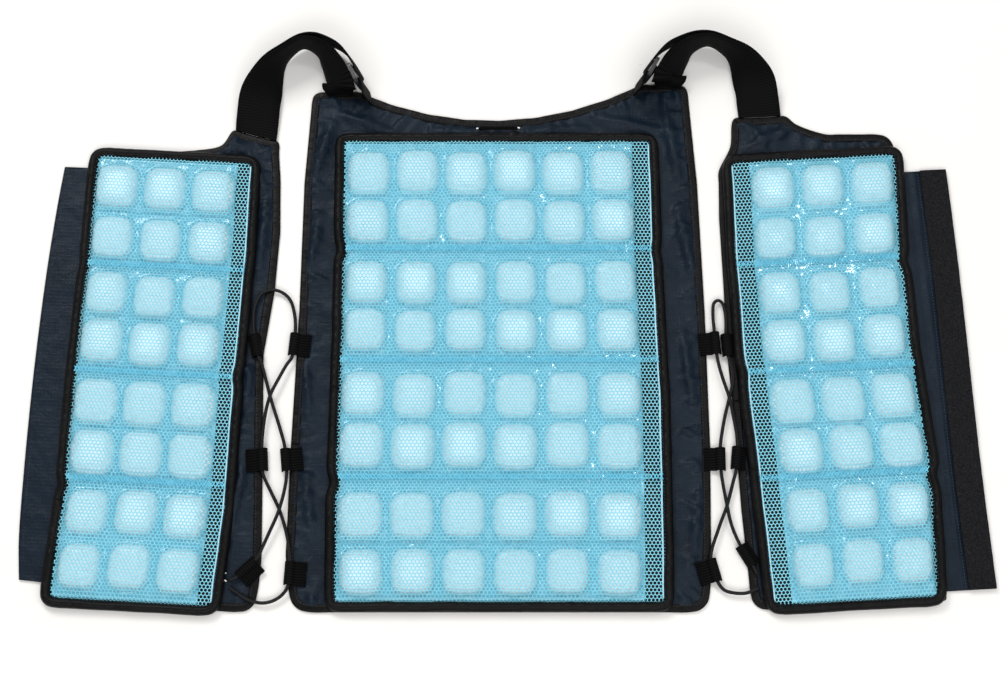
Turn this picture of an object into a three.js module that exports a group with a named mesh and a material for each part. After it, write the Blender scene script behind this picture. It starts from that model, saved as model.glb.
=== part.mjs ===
// Cooling vest, laid open with its inside face up: three ripstop panels joined by webbing
// shoulder straps and by elastic side lacing. Each panel carries a pouch with a net face
// over a cold pack of small pillow cells. Millimetres, +X to the right, +Y towards the
// neckline, +Z up from the surface that the vest lies on.
import * as THREE from 'three';

// Cloth thicknesses and the clearance kept between touching pieces
const gap = 0.3;
const shellThickness = 2;
const backingThickness = 1;
const filmThickness = 1;
const netThickness = 1;
const hem = { width: 7, thickness: 2.6 };
const trim = { width: 8.5, height: 6.4 };

// Pack cells: size on plan, the step between rows inside one band, and the pillow's form
const sheetClearance = 1;
const cell = { width: 35, length: 38, rowPitch: 45, height: 9.5, shoulder: 6, cornerCut: 3.5 };
const bands = 4;
const rowsPerBand = 2;
const netRelief = { valley: 3.2, seam: 8.2, edge: 8.6 };
const netOverhang = 1.5;

// The back panel, measured over its hem, and the neckline scooped out of its top edge
const back = { width: 364, length: 478, cornerRadius: 18, neckShare: 0.709, neckDepth: 31, topCloth: 49 };

// Pouch layout: cell columns and their pitch, the plain net strip beside the pack, band pitch
const backBandPitch = (back.length - back.topCloth - 2 * trim.width) / bands;
const backPouch = {
  columns: 6, pitch: 44, strip: 14.5, stripSide: 1, bandPitch: backBandPitch, cornerRadius: 13,
};
const leftPouch = { columns: 3, pitch: 42.5, strip: 11.5, stripSide: 1, bandPitch: 98.8, cornerRadius: 16 };
const rightPouch = { columns: 3, pitch: 44, strip: 15, stripSide: -1, bandPitch: 98.8, cornerRadius: 16 };

// Front panels: centre of the pouch on the surface, and the lean of the panel in degrees
const backPanel = { x: 0, y: 0, lean: 0 };
const leftPanel = { x: -302, y: -33, lean: -3.1, cornerRadius: 16 };
const rightPanel = { x: 291, y: -32, lean: 3.2, cornerRadius: 16 };

// Closure pieces beside the front pouches
const flap = { reach: 27, length: 373, shift: 1 };
const fly = { reach: 38, length: 376, shift: -6 };
const hook = { width: 23.5, thickness: 2.2 };

// Webbing straps and their slide buckles
const strap = { width: 38, thickness: 1.8, arch: { left: 56, right: 47 } };
const buckle = { width: 47.6, length: 20, thickness: 3, bar: 3.6, sideBar: 3.4 };

// Lacing: a round elastic cord in webbing keepers
const cordDiameter = 3;
const keeper = { sewn: 10, lip: 4.6, length: 20, web: 1.2, slotWidth: 7.4, slotHeight: 3.9 };

// Heights of the layers above the surface
const pouchFloor = hem.thickness + gap;
const packFloor = pouchFloor + backingThickness + gap;
const crownHeight = packFloor + filmThickness + cell.height;
const netTop = crownHeight + gap + netThickness;
const keeperFloor = hem.thickness + gap;

const paint = (color, roughness, metalness = 0) =>
  new THREE.MeshStandardMaterial({ color, roughness, metalness });

const material = {
  shell: paint(0x232f40, 0.55),
  hem: paint(0x232122, 0.5),
  trim: paint(0x232122, 0.42),
  backing: paint(0x121214, 0.9),
  pack: paint(0xb8dbe6, 0.3),
  net: paint(0x6cc6dc, 0.6),
  webbing: paint(0x101011, 0.85),
  cord: paint(0x17171a, 0.8),
  hook: paint(0x1d1d20, 0.95),
  buckle: paint(0x1a1a1c, 0.35),
};

const mix = (a, b, t) => a + (b - a) * t;
const turned = (x, y, degrees) => {
  const angle = THREE.MathUtils.degToRad(degrees);
  return [x * Math.cos(angle) - y * Math.sin(angle), x * Math.sin(angle) + y * Math.cos(angle)];
};

// Value of one column of a table at a given share, read between its rows
function tableValue(rows, at, column) {
  const last = rows.length - 1;
  if (at <= rows[0].up) return rows[0][column];
  if (at >= rows[last].up) return rows[last][column];
  const next = rows.findIndex((row) => row.up > at);
  const low = rows[next - 1];
  const high = rows[next];
  return mix(low[column], high[column], (at - low.up) / (high.up - low.up));
}

// Closed body from corner points and triangles, turned right side out
function closedBody(points, triangles) {
  let volume = 0;
  const a = new THREE.Vector3();
  for (const [i, j, k] of triangles) {
    a.crossVectors(points[j], points[k]);
    volume += points[i].dot(a);
  }
  const ordered = volume < 0 ? triangles.map(([i, j, k]) => [i, k, j]) : triangles;
  const geometry = new THREE.BufferGeometry();
  const places = points.flatMap((p) => p.toArray());
  geometry.setAttribute('position', new THREE.Float32BufferAttribute(places, 3));
  geometry.setIndex(ordered.flat());
  const flat = geometry.toNonIndexed();
  flat.computeVertexNormals();
  return flat;
}

// Corners moved inwards by a distance; a marked corner keeps its radius short of that
const leastRadius = 1.5;
function insetCorners(corners, distance) {
  const count = corners.length;
  return corners.map((here, index) => {
    const before = corners[(index + count - 1) % count];
    const after = corners[(index + 1) % count];
    const arrive = new THREE.Vector2(here.x - before.x, here.y - before.y).normalize();
    const leave = new THREE.Vector2(after.x - here.x, after.y - here.y).normalize();
    const inward = new THREE.Vector2(-arrive.y - leave.y, arrive.x + leave.x).normalize();
    const spread = Math.max(0.5, inward.dot(new THREE.Vector2(-arrive.y, arrive.x)));
    return {
      x: here.x + (inward.x * distance) / spread,
      y: here.y + (inward.y * distance) / spread,
      r: here.r ? Math.max(here.r - distance, leastRadius) : 0,
    };
  });
}

// Outline at a distance inside its corners, each { x, y, r }, with the marked ones cut round
function outlineAt(corners, distance = 0) {
  const inner = insetCorners(corners, distance);
  const count = inner.length;
  return inner.flatMap((corner, index) => {
    const here = new THREE.Vector2(corner.x, corner.y);
    if (!corner.r) return [here];
    const before = inner[(index + count - 1) % count];
    const after = inner[(index + 1) % count];
    const start = new THREE.Vector2(before.x, before.y).sub(here).setLength(corner.r).add(here);
    const end = new THREE.Vector2(after.x, after.y).sub(here).setLength(corner.r).add(here);
    return [0, 1 / 3, 2 / 3, 1].map((t) => new THREE.Vector2(
      (1 - t) ** 2 * start.x + 2 * t * (1 - t) * here.x + t * t * end.x,
      (1 - t) ** 2 * start.y + 2 * t * (1 - t) * here.y + t * t * end.y,
    ));
  });
}

// Band that follows an edge: its section is a list of { inset, height }
function edgeBand(corners, section) {
  const rings = section.map(({ inset, height }) => ({ line: outlineAt(corners, inset), height }));
  const points = [];
  const triangles = [];
  const sides = section.length;
  const count = rings[0].line.length;
  for (let index = 0; index < count; index += 1) {
    for (const ring of rings) {
      points.push(new THREE.Vector3(ring.line[index].x, ring.line[index].y, ring.height));
    }
  }
  for (let index = 0; index < count; index += 1) {
    const here = index * sides;
    const next = ((index + 1) % count) * sides;
    for (let side = 0; side < sides; side += 1) {
      const over = (side + 1) % sides;
      triangles.push([here + side, next + side, next + over], [here + side, next + over, here + over]);
    }
  }
  return closedBody(points, triangles);
}

// Flat cloth piece between two heights
function clothPlate(outline, floor, thickness) {
  const geometry = new THREE.ExtrudeGeometry(new THREE.Shape(outline), {
    depth: thickness, bevelEnabled: false, steps: 1,
  });
  return geometry.translate(0, 0, floor);
}

// Folds in the loose cloth inside the hem: the rise of each point along the edge, as a
// share of the fold height, on the crest line and on the line where the folds fade out
const foldHeight = 1.8;
const foldReach = { crest: 7.5, fade: 12.5 };
const foldMargin = 3;
const foldRows = [
  { crest: 0.2, fade: 0.0 },
  { crest: 1.0, fade: 0.3 },
  { crest: 0.1, fade: 0.1 },
  { crest: 0.7, fade: 0.0 },
  { crest: 0.0, fade: 0.2 },
];

// Panel cloth with soft folds round its edge, the underside following the upper side;
// it lies flat wherever a pouch covers it or a keeper is sewn to it
function foldedShell(corners, start, heldFlat) {
  const rings = [
    { line: outlineAt(corners, start), lift: () => 0 },
    { line: outlineAt(corners, start + foldReach.crest), lift: (row) => row.crest * foldHeight },
    { line: outlineAt(corners, start + foldReach.fade), lift: (row) => row.fade * foldHeight },
  ];
  const count = rings[0].line.length;
  const points = [];
  const triangles = [];
  for (const base of [0, shellThickness]) {
    for (const ring of rings) {
      ring.line.forEach((p, index) => {
        const rise = heldFlat(p) ? 0 : ring.lift(foldRows[index % foldRows.length]);
        points.push(new THREE.Vector3(p.x, p.y, base + rise));
      });
    }
  }
  const layer = rings.length * count;
  const middle = THREE.ShapeUtils.triangulateShape(rings[2].line, []);
  for (let index = 0; index < count; index += 1) {
    const next = (index + 1) % count;
    for (let ring = 0; ring < rings.length - 1; ring += 1) {
      const outer = ring * count;
      const inner = outer + count;
      for (const [offset, flip] of [[0, true], [layer, false]]) {
        const quad = [outer + index, outer + next, inner + next, inner + index].map((i) => i + offset);
        if (flip) quad.reverse();
        triangles.push([quad[0], quad[1], quad[2]], [quad[0], quad[2], quad[3]]);
      }
    }
    triangles.push([index, next, layer + next], [index, layer + next, layer + index]);
  }
  for (const [a, b, c] of middle) {
    const inner = 2 * count;
    triangles.push([inner + a, inner + c, inner + b]);
    triangles.push([layer + inner + a, layer + inner + b, layer + inner + c]);
  }
  return closedBody(points, triangles);
}

// Triangles between two closed rings of points that run the same way round one centre
function stitch(points, outer, inner) {
  const triangles = [];
  const gapBetween = (i, j) => points[i].distanceToSquared(points[j]);
  const [m, n] = [outer.length, inner.length];
  let start = 0;
  for (let k = 1; k < n; k += 1) {
    if (gapBetween(outer[0], inner[k]) < gapBetween(outer[0], inner[start])) start = k;
  }
  let [o, i] = [0, 0];
  while (o < m || i < n) {
    const [a, b] = [outer[o % m], inner[(start + i) % n]];
    const [nextA, nextB] = [outer[(o + 1) % m], inner[(start + i + 1) % n]];
    const stepOuter = i >= n || (o < m && gapBetween(nextA, b) <= gapBetween(a, nextB));
    if (stepOuter) {
      triangles.push([a, nextA, b]);
      o += 1;
    } else {
      triangles.push([a, nextB, b]);
      i += 1;
    }
  }
  return triangles;
}

// Sheet over a grid of tiles. upper and lower each give the height of a tile corner and,
// for a tile with a raised form, its rings of points from the foot to the crown
function tileSheet(across, along, cornerAt, upper, lower) {
  const points = [];
  const triangles = [];
  const at = (i, j) => j * (across + 1) + i;
  const layer = (across + 1) * (along + 1);
  for (const face of [upper, lower]) {
    for (let j = 0; j <= along; j += 1) {
      for (let i = 0; i <= across; i += 1) {
        const { x, y } = cornerAt(i, j);
        points.push(new THREE.Vector3(x, y, face.height(i, j)));
      }
    }
  }
  [upper, lower].forEach((face, side) => {
    for (let j = 0; j < along; j += 1) {
      for (let i = 0; i < across; i += 1) {
        const tile = [at(i, j), at(i + 1, j), at(i + 1, j + 1), at(i, j + 1)];
        let edge = tile.map((k) => k + side * layer);
        const found = [];
        for (const ring of face.rings ? face.rings(i, j) : []) {
          const indices = ring.map((p) => points.push(p) - 1);
          found.push(...stitch(points, edge, indices));
          edge = indices;
        }
        for (let k = 1; k < edge.length - 1; k += 1) found.push([edge[0], edge[k], edge[k + 1]]);
        triangles.push(...(side ? found.map(([p, q, r]) => [p, r, q]) : found));
      }
    }
  });
  const wall = (p, q) => triangles.push([p, layer + q, q], [p, layer + p, layer + q]);
  for (let i = 0; i < across; i += 1) {
    wall(at(i, 0), at(i + 1, 0));
    wall(at(i + 1, along), at(i, along));
  }
  for (let j = 0; j < along; j += 1) {
    wall(at(across, j), at(across, j + 1));
    wall(at(0, j + 1), at(0, j));
  }
  return closedBody(points, triangles);
}

// Bulges of each pouch's two long edges, as shares of the trim width, from bottom to top
const pouchEdges = {
  back: [
    { up: 0.00, left: 0.10, right: -0.05 },
    { up: 0.20, left: 0.25, right: 0.05 },
    { up: 0.45, left: 0.05, right: 0.00 },
    { up: 0.70, left: -0.05, right: -0.40 },
    { up: 1.00, left: 0.15, right: -0.60 },
  ],
  left: [
    { up: 0.00, left: 0.00, right: -0.20 },
    { up: 0.22, left: -0.35, right: 0.30 },
    { up: 0.50, left: -0.10, right: 0.10 },
    { up: 0.78, left: -0.10, right: 0.15 },
    { up: 1.00, left: 0.10, right: -0.20 },
  ],
  right: [
    { up: 0.00, left: -0.45, right: -0.60 },
    { up: 0.30, left: -0.05, right: 0.15 },
    { up: 0.55, left: 0.35, right: -0.45 },
    { up: 0.78, left: 0.25, right: -0.37 },
    { up: 1.00, left: -0.20, right: 0.20 },
  ],
};

// Everything that the pieces of one pouch share: edges, corners and the grid of its pack
function pouchPlan(layout, edges) {
  const packWidth = layout.columns * layout.pitch;
  const innerWidth = packWidth + layout.strip;
  const length = bands * layout.bandPitch + 2 * trim.width;
  const halfWidth = innerWidth / 2 + trim.width;
  const halfLength = length / 2;
  const share = (y) => (y + halfLength) / length;
  const leftEdge = (y) => -halfWidth - tableValue(edges, share(y), 'left') * trim.width;
  const rightEdge = (y) => halfWidth + tableValue(edges, share(y), 'right') * trim.width;
  const inner = edges.filter((row) => row.up > 0 && row.up < 1);
  const edgePoint = (edge, row) => {
    const y = mix(-halfLength, halfLength, row.up);
    return { x: edge(y), y };
  };
  const corners = [
    { x: leftEdge(-halfLength), y: -halfLength, r: layout.cornerRadius },
    { x: rightEdge(-halfLength), y: -halfLength, r: layout.cornerRadius },
    ...inner.map((row) => edgePoint(rightEdge, row)),
    { x: rightEdge(halfLength), y: halfLength, r: layout.cornerRadius },
    { x: leftEdge(halfLength), y: halfLength, r: layout.cornerRadius },
    ...inner.map((row) => edgePoint(leftEdge, row)).reverse(),
  ];
  const packStart = layout.stripSide > 0 ? 0 : layout.strip;
  const cellsAcross = Array.from(
    { length: layout.columns }, (_, k) => packStart + (k + 0.5) * layout.pitch,
  );
  const bandOffset = (rowsPerBand - 1) / 2;
  const cellsAlong = Array.from({ length: bands * rowsPerBand }, (_, k) => {
    const band = Math.floor(k / rowsPerBand);
    return (band + 0.5) * layout.bandPitch + ((k % rowsPerBand) - bandOffset) * cell.rowPitch;
  });
  // Grid place: column measured from the inner left edge, row from the inner bottom edge
  const place = (column, row, inset) => {
    const reach = halfLength - trim.width - inset;
    const y = mix(-reach, reach, row / (bands * layout.bandPitch));
    const low = leftEdge(y) + trim.width + inset;
    const high = rightEdge(y) - trim.width - inset;
    return { x: mix(low, high, column / innerWidth), y };
  };
  return {
    layout, innerWidth, innerLength: bands * layout.bandPitch, halfWidth, halfLength, leftEdge, rightEdge,
    corners, packStart, packWidth, cellsAcross, cellsAlong, place,
  };
}

// How far a square sheet corner draws back to stay inside the rounded trim
const cornerShare = 0.5;
const cornerClear = (plan) => (
  Math.max(0, plan.layout.cornerRadius - trim.width) * cornerShare + gap
);

// Tile lines of a pouch: half way between the cells, and the edges of the sheet
function tileLines(plan, wholeWidth) {
  const { columns: count, pitch } = plan.layout;
  const columns = Array.from({ length: count + 1 }, (_, k) => plan.packStart + k * pitch);
  if (wholeWidth && plan.layout.stripSide > 0) columns.push(plan.innerWidth);
  if (wholeWidth && plan.layout.stripSide < 0) columns.unshift(0);
  const between = plan.cellsAlong.slice(1).map((y, k) => (y + plan.cellsAlong[k]) / 2);
  return { columns, rows: [0, ...between, plan.innerLength] };
}

// Corner of a tile on the surface; the sheet's own four corners draw back from the trim
function tileCorner(plan, lines, i, j) {
  const spot = plan.place(lines.columns[i], lines.rows[j], sheetClearance);
  const lastColumn = lines.columns.length - 1;
  const lastRow = lines.rows.length - 1;
  if ((i > 0 && i < lastColumn) || (j > 0 && j < lastRow)) return spot;
  const clear = cornerClear(plan);
  return { x: spot.x + (i === 0 ? clear : -clear), y: spot.y + (j === 0 ? clear : -clear) };
}

// Ring round a cell's centre: a rectangle with its corners cut, or a plain one
function cellRing(plan, centre, width, length, cut, height) {
  const [w, l] = [width / 2, length / 2];
  const corners = [[-w, -l], [w, -l], [w, l], [-w, l]];
  const flat = cut > 0 ? corners.flatMap(([x, y], k) => {
    const alongX = [x - Math.sign(x) * cut, y];
    const alongY = [x, y - Math.sign(y) * cut];
    return k % 2 === 0 ? [alongY, alongX] : [alongX, alongY];
  }) : corners;
  return flat.map(([x, y]) => {
    const spot = plan.place(centre.column + x, centre.row + y, sheetClearance);
    return new THREE.Vector3(spot.x, spot.y, height);
  });
}

// Cold pack: one film with a field of rounded pillow cells
function packBody(plan) {
  const lines = tileLines(plan, false);
  const filmTop = packFloor + filmThickness;
  const upper = {
    height: () => filmTop,
    rings: (i, j) => {
      const centre = { column: plan.cellsAcross[i], row: plan.cellsAlong[j] };
      const inset = 2 * cell.shoulder;
      return [
        cellRing(plan, centre, cell.width, cell.length, cell.cornerCut * 2, filmTop),
        cellRing(plan, centre, cell.width - inset, cell.length - inset, cell.cornerCut, crownHeight),
      ];
    },
  };
  return tileSheet(
    lines.columns.length - 1, lines.rows.length - 1, (i, j) => tileCorner(plan, lines, i, j),
    upper, { height: () => packFloor },
  );
}

// Net face: drawn tight over the crowns, dipping between cells, sewn down at band seams
function netBody(plan) {
  const lines = tileLines(plan, true);
  const [across, along] = [lines.columns.length - 1, lines.rows.length - 1];
  const firstCell = plan.layout.stripSide < 0 ? 1 : 0;
  const drop = (i, j) => {
    const overCells = i > firstCell && i < firstCell + plan.layout.columns;
    if (!overCells || j === 0 || j === along) return netRelief.edge;
    return j % rowsPerBand === 0 ? netRelief.seam : netRelief.valley;
  };
  const flat = netOverhang - cell.shoulder;
  const over = { width: cell.width + 2 * flat, length: cell.length + 2 * flat };
  const face = (depth) => ({
    height: (i, j) => netTop - drop(i, j) - depth,
    rings: (i, j) => {
      const column = i - firstCell;
      if (column < 0 || column >= plan.layout.columns) return [];
      const centre = { column: plan.cellsAcross[column], row: plan.cellsAlong[j] };
      return [cellRing(plan, centre, over.width, over.length, 0, netTop - depth)];
    },
  });
  return tileSheet(across, along, (i, j) => tileCorner(plan, lines, i, j), face(0), face(netThickness));
}

// Sections of the folded hem and of the fuller pouch trim, from the outer edge inwards, as
// shares of the band's width and height
const hemProfile = [
  { in: 0.00, up: 0.5 },
  { in: 0.14, up: 0.0 },
  { in: 1.00, up: 0.0 },
  { in: 1.00, up: 1.0 },
  { in: 0.14, up: 1.0 },
];
const trimProfile = [
  { in: 0.00, up: 0.35 },
  { in: 0.12, up: 0.00 },
  { in: 1.00, up: 0.00 },
  { in: 1.00, up: 0.60 },
  { in: 0.62, up: 1.00 },
  { in: 0.22, up: 0.85 },
];
const bandSection = (profile, width, height, floor) => profile.map((row) => ({
  inset: row.in * width,
  height: floor + row.up * height,
}));
const hemSection = bandSection(hemProfile, hem.width, hem.thickness, 0);
const trimSection = bandSection(trimProfile, trim.width, trim.height, pouchFloor);

// Lace routes on the surface: x, y and height of chosen points, measured from the middle of
// the back panel. Each lace is one cord, from the front panel's lowest keeper and back to it
const lace = {
  left: [
    [-230.5, -212.5, 5.0], [-223.5, -209.5, 5.8], [-207.5, -194.5, 6.0], [-202.5, -184.5, 6.0],
    [-197.0, -172.0, 7.0], [-189.5, -154.0, 8.0], [-184.8, -134.0, 6.8], [-183.6, -119.5, 6.05],
    [-185.8, -98.0, 6.05], [-190.0, -83.0, 5.4], [-200.0, -53.0, 4.5], [-207.0, -28.0, 5.4],
    [-211.4, -16.5, 6.05], [-215.6, 3.0, 6.05], [-216.6, 15.0, 5.6], [-216.2, 27.0, 5.2],
    [-211.0, 39.5, 4.9], [-203.0, 43.5, 4.7], [-194.0, 42.0, 4.5], [-185.5, 35.0, 4.6],
    [-180.8, 21.0, 5.2], [-179.6, 5.0, 6.05], [-181.6, -17.0, 6.05], [-186.5, -25.0, 6.6],
    [-192.5, -37.0, 7.8], [-199.5, -52.0, 8.0], [-203.5, -69.0, 7.0], [-205.8, -97.5, 6.05],
    [-204.4, -119.5, 6.05], [-202.0, -126.0, 5.6], [-196.5, -137.0, 5.0], [-189.0, -152.5, 4.5],
    [-182.0, -174.0, 5.2], [-178.4, -196.0, 6.05], [-179.6, -216.5, 6.05], [-184.5, -224.5, 5.0],
    [-192.0, -229.5, 4.8], [-201.0, -231.5, 4.8], [-212.5, -229.0, 4.8], [-229.5, -218.5, 4.8],
  ],
  right: [
    [218.5, -207.5, 5.2], [215.0, -199.5, 6.0], [205.0, -183.0, 6.0], [200.0, -172.0, 6.6],
    [197.0, -163.0, 7.6], [194.5, -150.0, 8.0], [191.5, -130.0, 6.8], [190.3, -118.5, 6.05],
    [190.3, -97.5, 6.05], [192.0, -86.0, 5.4], [195.0, -71.5, 4.8], [199.3, -55.0, 4.5],
    [202.8, -41.0, 4.9], [203.2, -30.0, 5.4], [199.6, -17.0, 6.05], [198.2, 3.5, 6.05],
    [198.6, 15.0, 5.2], [196.5, 25.0, 4.8], [193.5, 32.0, 4.6], [190.6, 34.6, 4.5],
    [188.4, 31.0, 4.6], [187.8, 20.0, 5.2], [188.0, 5.5, 6.05], [189.6, -15.5, 6.05],
    [191.5, -27.0, 6.8], [194.8, -40.0, 7.8], [199.0, -54.0, 8.0], [202.0, -69.5, 7.2],
    [204.4, -84.0, 6.4], [205.4, -97.0, 6.05], [203.4, -117.0, 6.05], [200.5, -128.0, 5.4],
    [194.5, -149.0, 4.5], [187.0, -168.0, 5.2], [179.4, -193.5, 6.05], [184.8, -214.0, 6.05],
    [190.0, -220.5, 5.4], [198.5, -223.0, 4.8], [209.0, -223.0, 4.8], [220.0, -218.5, 4.8],
  ],
};
// Keepers: each threads one straight run of a lace. route is the lace, at its first point
// in the keeper; inward is the side of the cord on which the tab is sewn down; sewn is its
// share of the full tab, which is short where the pouch comes close
const keepers = [
  { name: 'left_front_bottom', route: 'left', at: 1, inward: 1, sewn: 0.8 },
  { name: 'back_left_middle', route: 'left', at: 7, inward: 1, sewn: 1 },
  { name: 'left_front_top', route: 'left', at: 12, inward: -1, sewn: 0.18 },
  { name: 'back_left_top', route: 'left', at: 21, inward: 1, sewn: 1 },
  { name: 'left_front_middle', route: 'left', at: 27, inward: -1, sewn: 1 },
  { name: 'back_left_bottom', route: 'left', at: 33, inward: 1, sewn: 1 },
  { name: 'right_front_bottom', route: 'right', at: 1, inward: 1, sewn: 0.3 },
  { name: 'back_right_middle', route: 'right', at: 7, inward: -1, sewn: 1 },
  { name: 'right_front_top', route: 'right', at: 14, inward: 1, sewn: 0.1 },
  { name: 'back_right_top', route: 'right', at: 22, inward: -1, sewn: 1 },
  { name: 'right_front_middle', route: 'right', at: 29, inward: 1, sewn: 0.35 },
  { name: 'back_right_bottom', route: 'right', at: 34, inward: -1, sewn: 1 },
];

const keeperSpots = keepers.map(({ route, at }) => {
  const [[ax, ay], [bx, by]] = [lace[route][at], lace[route][at + 1]];
  return new THREE.Vector3((ax + bx) / 2, (ay + by) / 2, 0);
});

const vest = new THREE.Group();

function addPiece(group, name, geometry, look) {
  const mesh = new THREE.Mesh(geometry, look.clone());
  mesh.name = name;
  group.add(mesh);
  return mesh;
}

function addShell(group, name, corners, plan, panel, pouchY) {
  const heldFlat = (p) => {
    const spot = onSurface(panel, p.x, p.y);
    const underPouch = Math.abs(p.x) < plan.halfWidth + foldMargin
      && Math.abs(p.y - pouchY) < plan.halfLength + foldMargin;
    return underPouch || keeperSpots.some((keeperSpot) => keeperSpot.distanceTo(spot) < keeper.length);
  };
  addPiece(group, `${name}_shell`, foldedShell(corners, hem.width + gap, heldFlat), material.shell);
  addPiece(group, `${name}_hem`, edgeBand(corners, hemSection), material.hem);
}

function addPouch(group, name, plan) {
  const inside = outlineAt(plan.corners, trim.width + gap);
  const lining = clothPlate(inside, pouchFloor, backingThickness);
  addPiece(group, `${name}_pouch_backing`, lining, material.backing);
  addPiece(group, `${name}_cold_pack`, packBody(plan), material.pack);
  addPiece(group, `${name}_net_face`, netBody(plan), material.net);
  addPiece(group, `${name}_pouch_trim`, edgeBand(plan.corners, trimSection), material.trim);
}

// Back panel outline: shares of the half width and of the length, counter-clockwise from
// the bottom left corner up the right side; the neckline is a parabola between the shoulders
const backSides = [
  { up: 0.00, left: 0.975, right: 0.975 },
  { up: 0.10, left: 1.005, right: 0.990 },
  { up: 0.30, left: 0.995, right: 1.000 },
  { up: 0.55, left: 0.973, right: 0.992 },
  { up: 0.80, left: 0.965, right: 0.972 },
  { up: 0.98, left: 0.938, right: 0.940 },
];
const backShoulder = { left: { up: 0.983, corner: 0.935 }, right: { up: 0.998, corner: 0.935 } };
const neckSteps = 8;
const underPouchShare = 0.78;

function backCorners() {
  const half = back.width / 2;
  const point = (side, up, out, r = 0) => ({ x: side * out * half, y: (up - 0.5) * back.length, r });
  const neck = Array.from({ length: neckSteps + 1 }, (_, k) => {
    const t = 1 - (2 * k) / neckSteps;
    const rim = mix(backShoulder.left.up, backShoulder.right.up, (t + 1) / 2) * back.length;
    const dip = back.neckDepth * (1 - t * t);
    return { x: (t * back.neckShare * back.width) / 2, y: rim - dip - back.length / 2 };
  });
  const middle = backSides.slice(1, -1);
  return [
    point(-1, 0, backSides[0].left, back.cornerRadius),
    point(-1, 0, underPouchShare),
    point(1, 0, underPouchShare),
    point(1, 0, backSides[0].right, back.cornerRadius),
    ...middle.map((row) => point(1, row.up, row.right)),
    point(1, backShoulder.right.up, backShoulder.right.corner, back.cornerRadius / 2),
    ...neck,
    point(-1, backShoulder.left.up, backShoulder.left.corner, back.cornerRadius / 2),
    ...middle.map((row) => point(-1, row.up, row.left)).reverse(),
  ];
}

// Front shells: outline beyond the pouch, in shares of the pouch's half width and length,
// from the bottom up the lacing side and over the shoulder; rows marked strap carry a strap
const leftShellRows = [
  { out: -0.86, up: 0.012 },
  { out: 0.94, up: 0.012 },
  { out: 1.35, up: 0.012, round: 1 },
  { out: 1.372, up: 0.12 },
  { out: 1.335, up: 0.22 },
  { out: 1.285, up: 0.34 },
  { out: 1.232, up: 0.47 },
  { out: 1.20, up: 0.56 },
  { out: 1.26, up: 0.70 },
  { out: 1.265, up: 0.83 },
  { out: 1.215, up: 0.95 },
  { out: 1.152, up: 1.036, strap: 1 },
  { out: 0.625, up: 1.058, strap: 1 },
  { out: 0.50, up: 1.022 },
  { out: 0.22, up: 1.008 },
  { out: -0.30, up: 0.995 },
  { out: -0.82, up: 0.975 },
];
const rightShellRows = [
  { out: 0.93, up: 0.012 },
  { out: 0.93, up: 1.03, round: 1 },
  { out: 0.20, up: 1.038 },
  { out: -0.12, up: 1.065 },
  { out: -0.23, up: 1.085, strap: 1 },
  { out: -0.80, up: 1.085, strap: 1 },
  { out: -0.87, up: 1.02 },
  { out: -1.02, up: 0.965 },
  { out: -1.06, up: 0.86 },
  { out: -1.08, up: 0.70 },
  { out: -1.105, up: 0.56 },
  { out: -1.095, up: 0.45 },
  { out: -1.10, up: 0.22 },
  { out: -1.08, up: 0.012, round: 1 },
];

const shellCorners = (rows, plan, radius) => rows.map((row) => ({
  x: row.out * plan.halfWidth,
  y: (row.up * 2 - 1) * plan.halfLength,
  r: row.round ? radius : 0,
}));

// A point of a leaning front panel, given on the surface
const onSurface = (panel, x, y) => {
  const [tx, ty] = turned(x, y, panel.lean);
  return new THREE.Vector3(panel.x + tx, panel.y + ty, 0);
};

function panelGroup(panel) {
  const group = new THREE.Group();
  group.position.set(panel.x, panel.y, 0);
  group.rotation.z = THREE.MathUtils.degToRad(panel.lean);
  vest.add(group);
  return group;
}

const backPlan = pouchPlan(backPouch, pouchEdges.back);
const leftPlan = pouchPlan(leftPouch, pouchEdges.left);
const rightPlan = pouchPlan(rightPouch, pouchEdges.right);

const backPouchGroup = new THREE.Group();
backPouchGroup.position.y = backPlan.halfLength - back.length / 2;
addShell(vest, 'back', backCorners(), backPlan, backPanel, backPouchGroup.position.y);
vest.add(backPouchGroup);
addPouch(backPouchGroup, 'back', backPlan);

const leftGroup = panelGroup(leftPanel);
const leftCorners = shellCorners(leftShellRows, leftPlan, leftPanel.cornerRadius);
addShell(leftGroup, 'left_front', leftCorners, leftPlan, leftPanel, 0);
addPouch(leftGroup, 'left_front', leftPlan);

const rightGroup = panelGroup(rightPanel);
const rightCorners = shellCorners(rightShellRows, rightPlan, rightPanel.cornerRadius);
addShell(rightGroup, 'right_front', rightCorners, rightPlan, rightPanel, 0);
addPouch(rightGroup, 'right_front', rightPlan);

// Closure flap on the left front: bows outwards, from the shell's edge under the pouch
const flapBow = [
  { up: 0.00, out: 0.72 },
  { up: 0.25, out: 0.97 },
  { up: 0.50, out: 1.03 },
  { up: 0.75, out: 1.00 },
  { up: 1.00, out: 0.86 },
];
const flapRoot = leftShellRows[0].out * leftPlan.halfWidth - gap;
const flapTop = flap.length / 2 + flap.shift;
const flapOutline = [
  { x: flapRoot, y: flapTop - flap.length },
  { x: flapRoot, y: flapTop },
  ...flapBow.map((row) => ({
    x: -leftPlan.halfWidth - row.out * flap.reach,
    y: flapTop - flap.length + row.up * flap.length,
    r: row.up === 0 || row.up === 1 ? hem.width : 0,
  })).reverse(),
];
addPiece(leftGroup, 'closure_flap', clothPlate(outlineAt(flapOutline), 0, shellThickness), material.shell);

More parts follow.
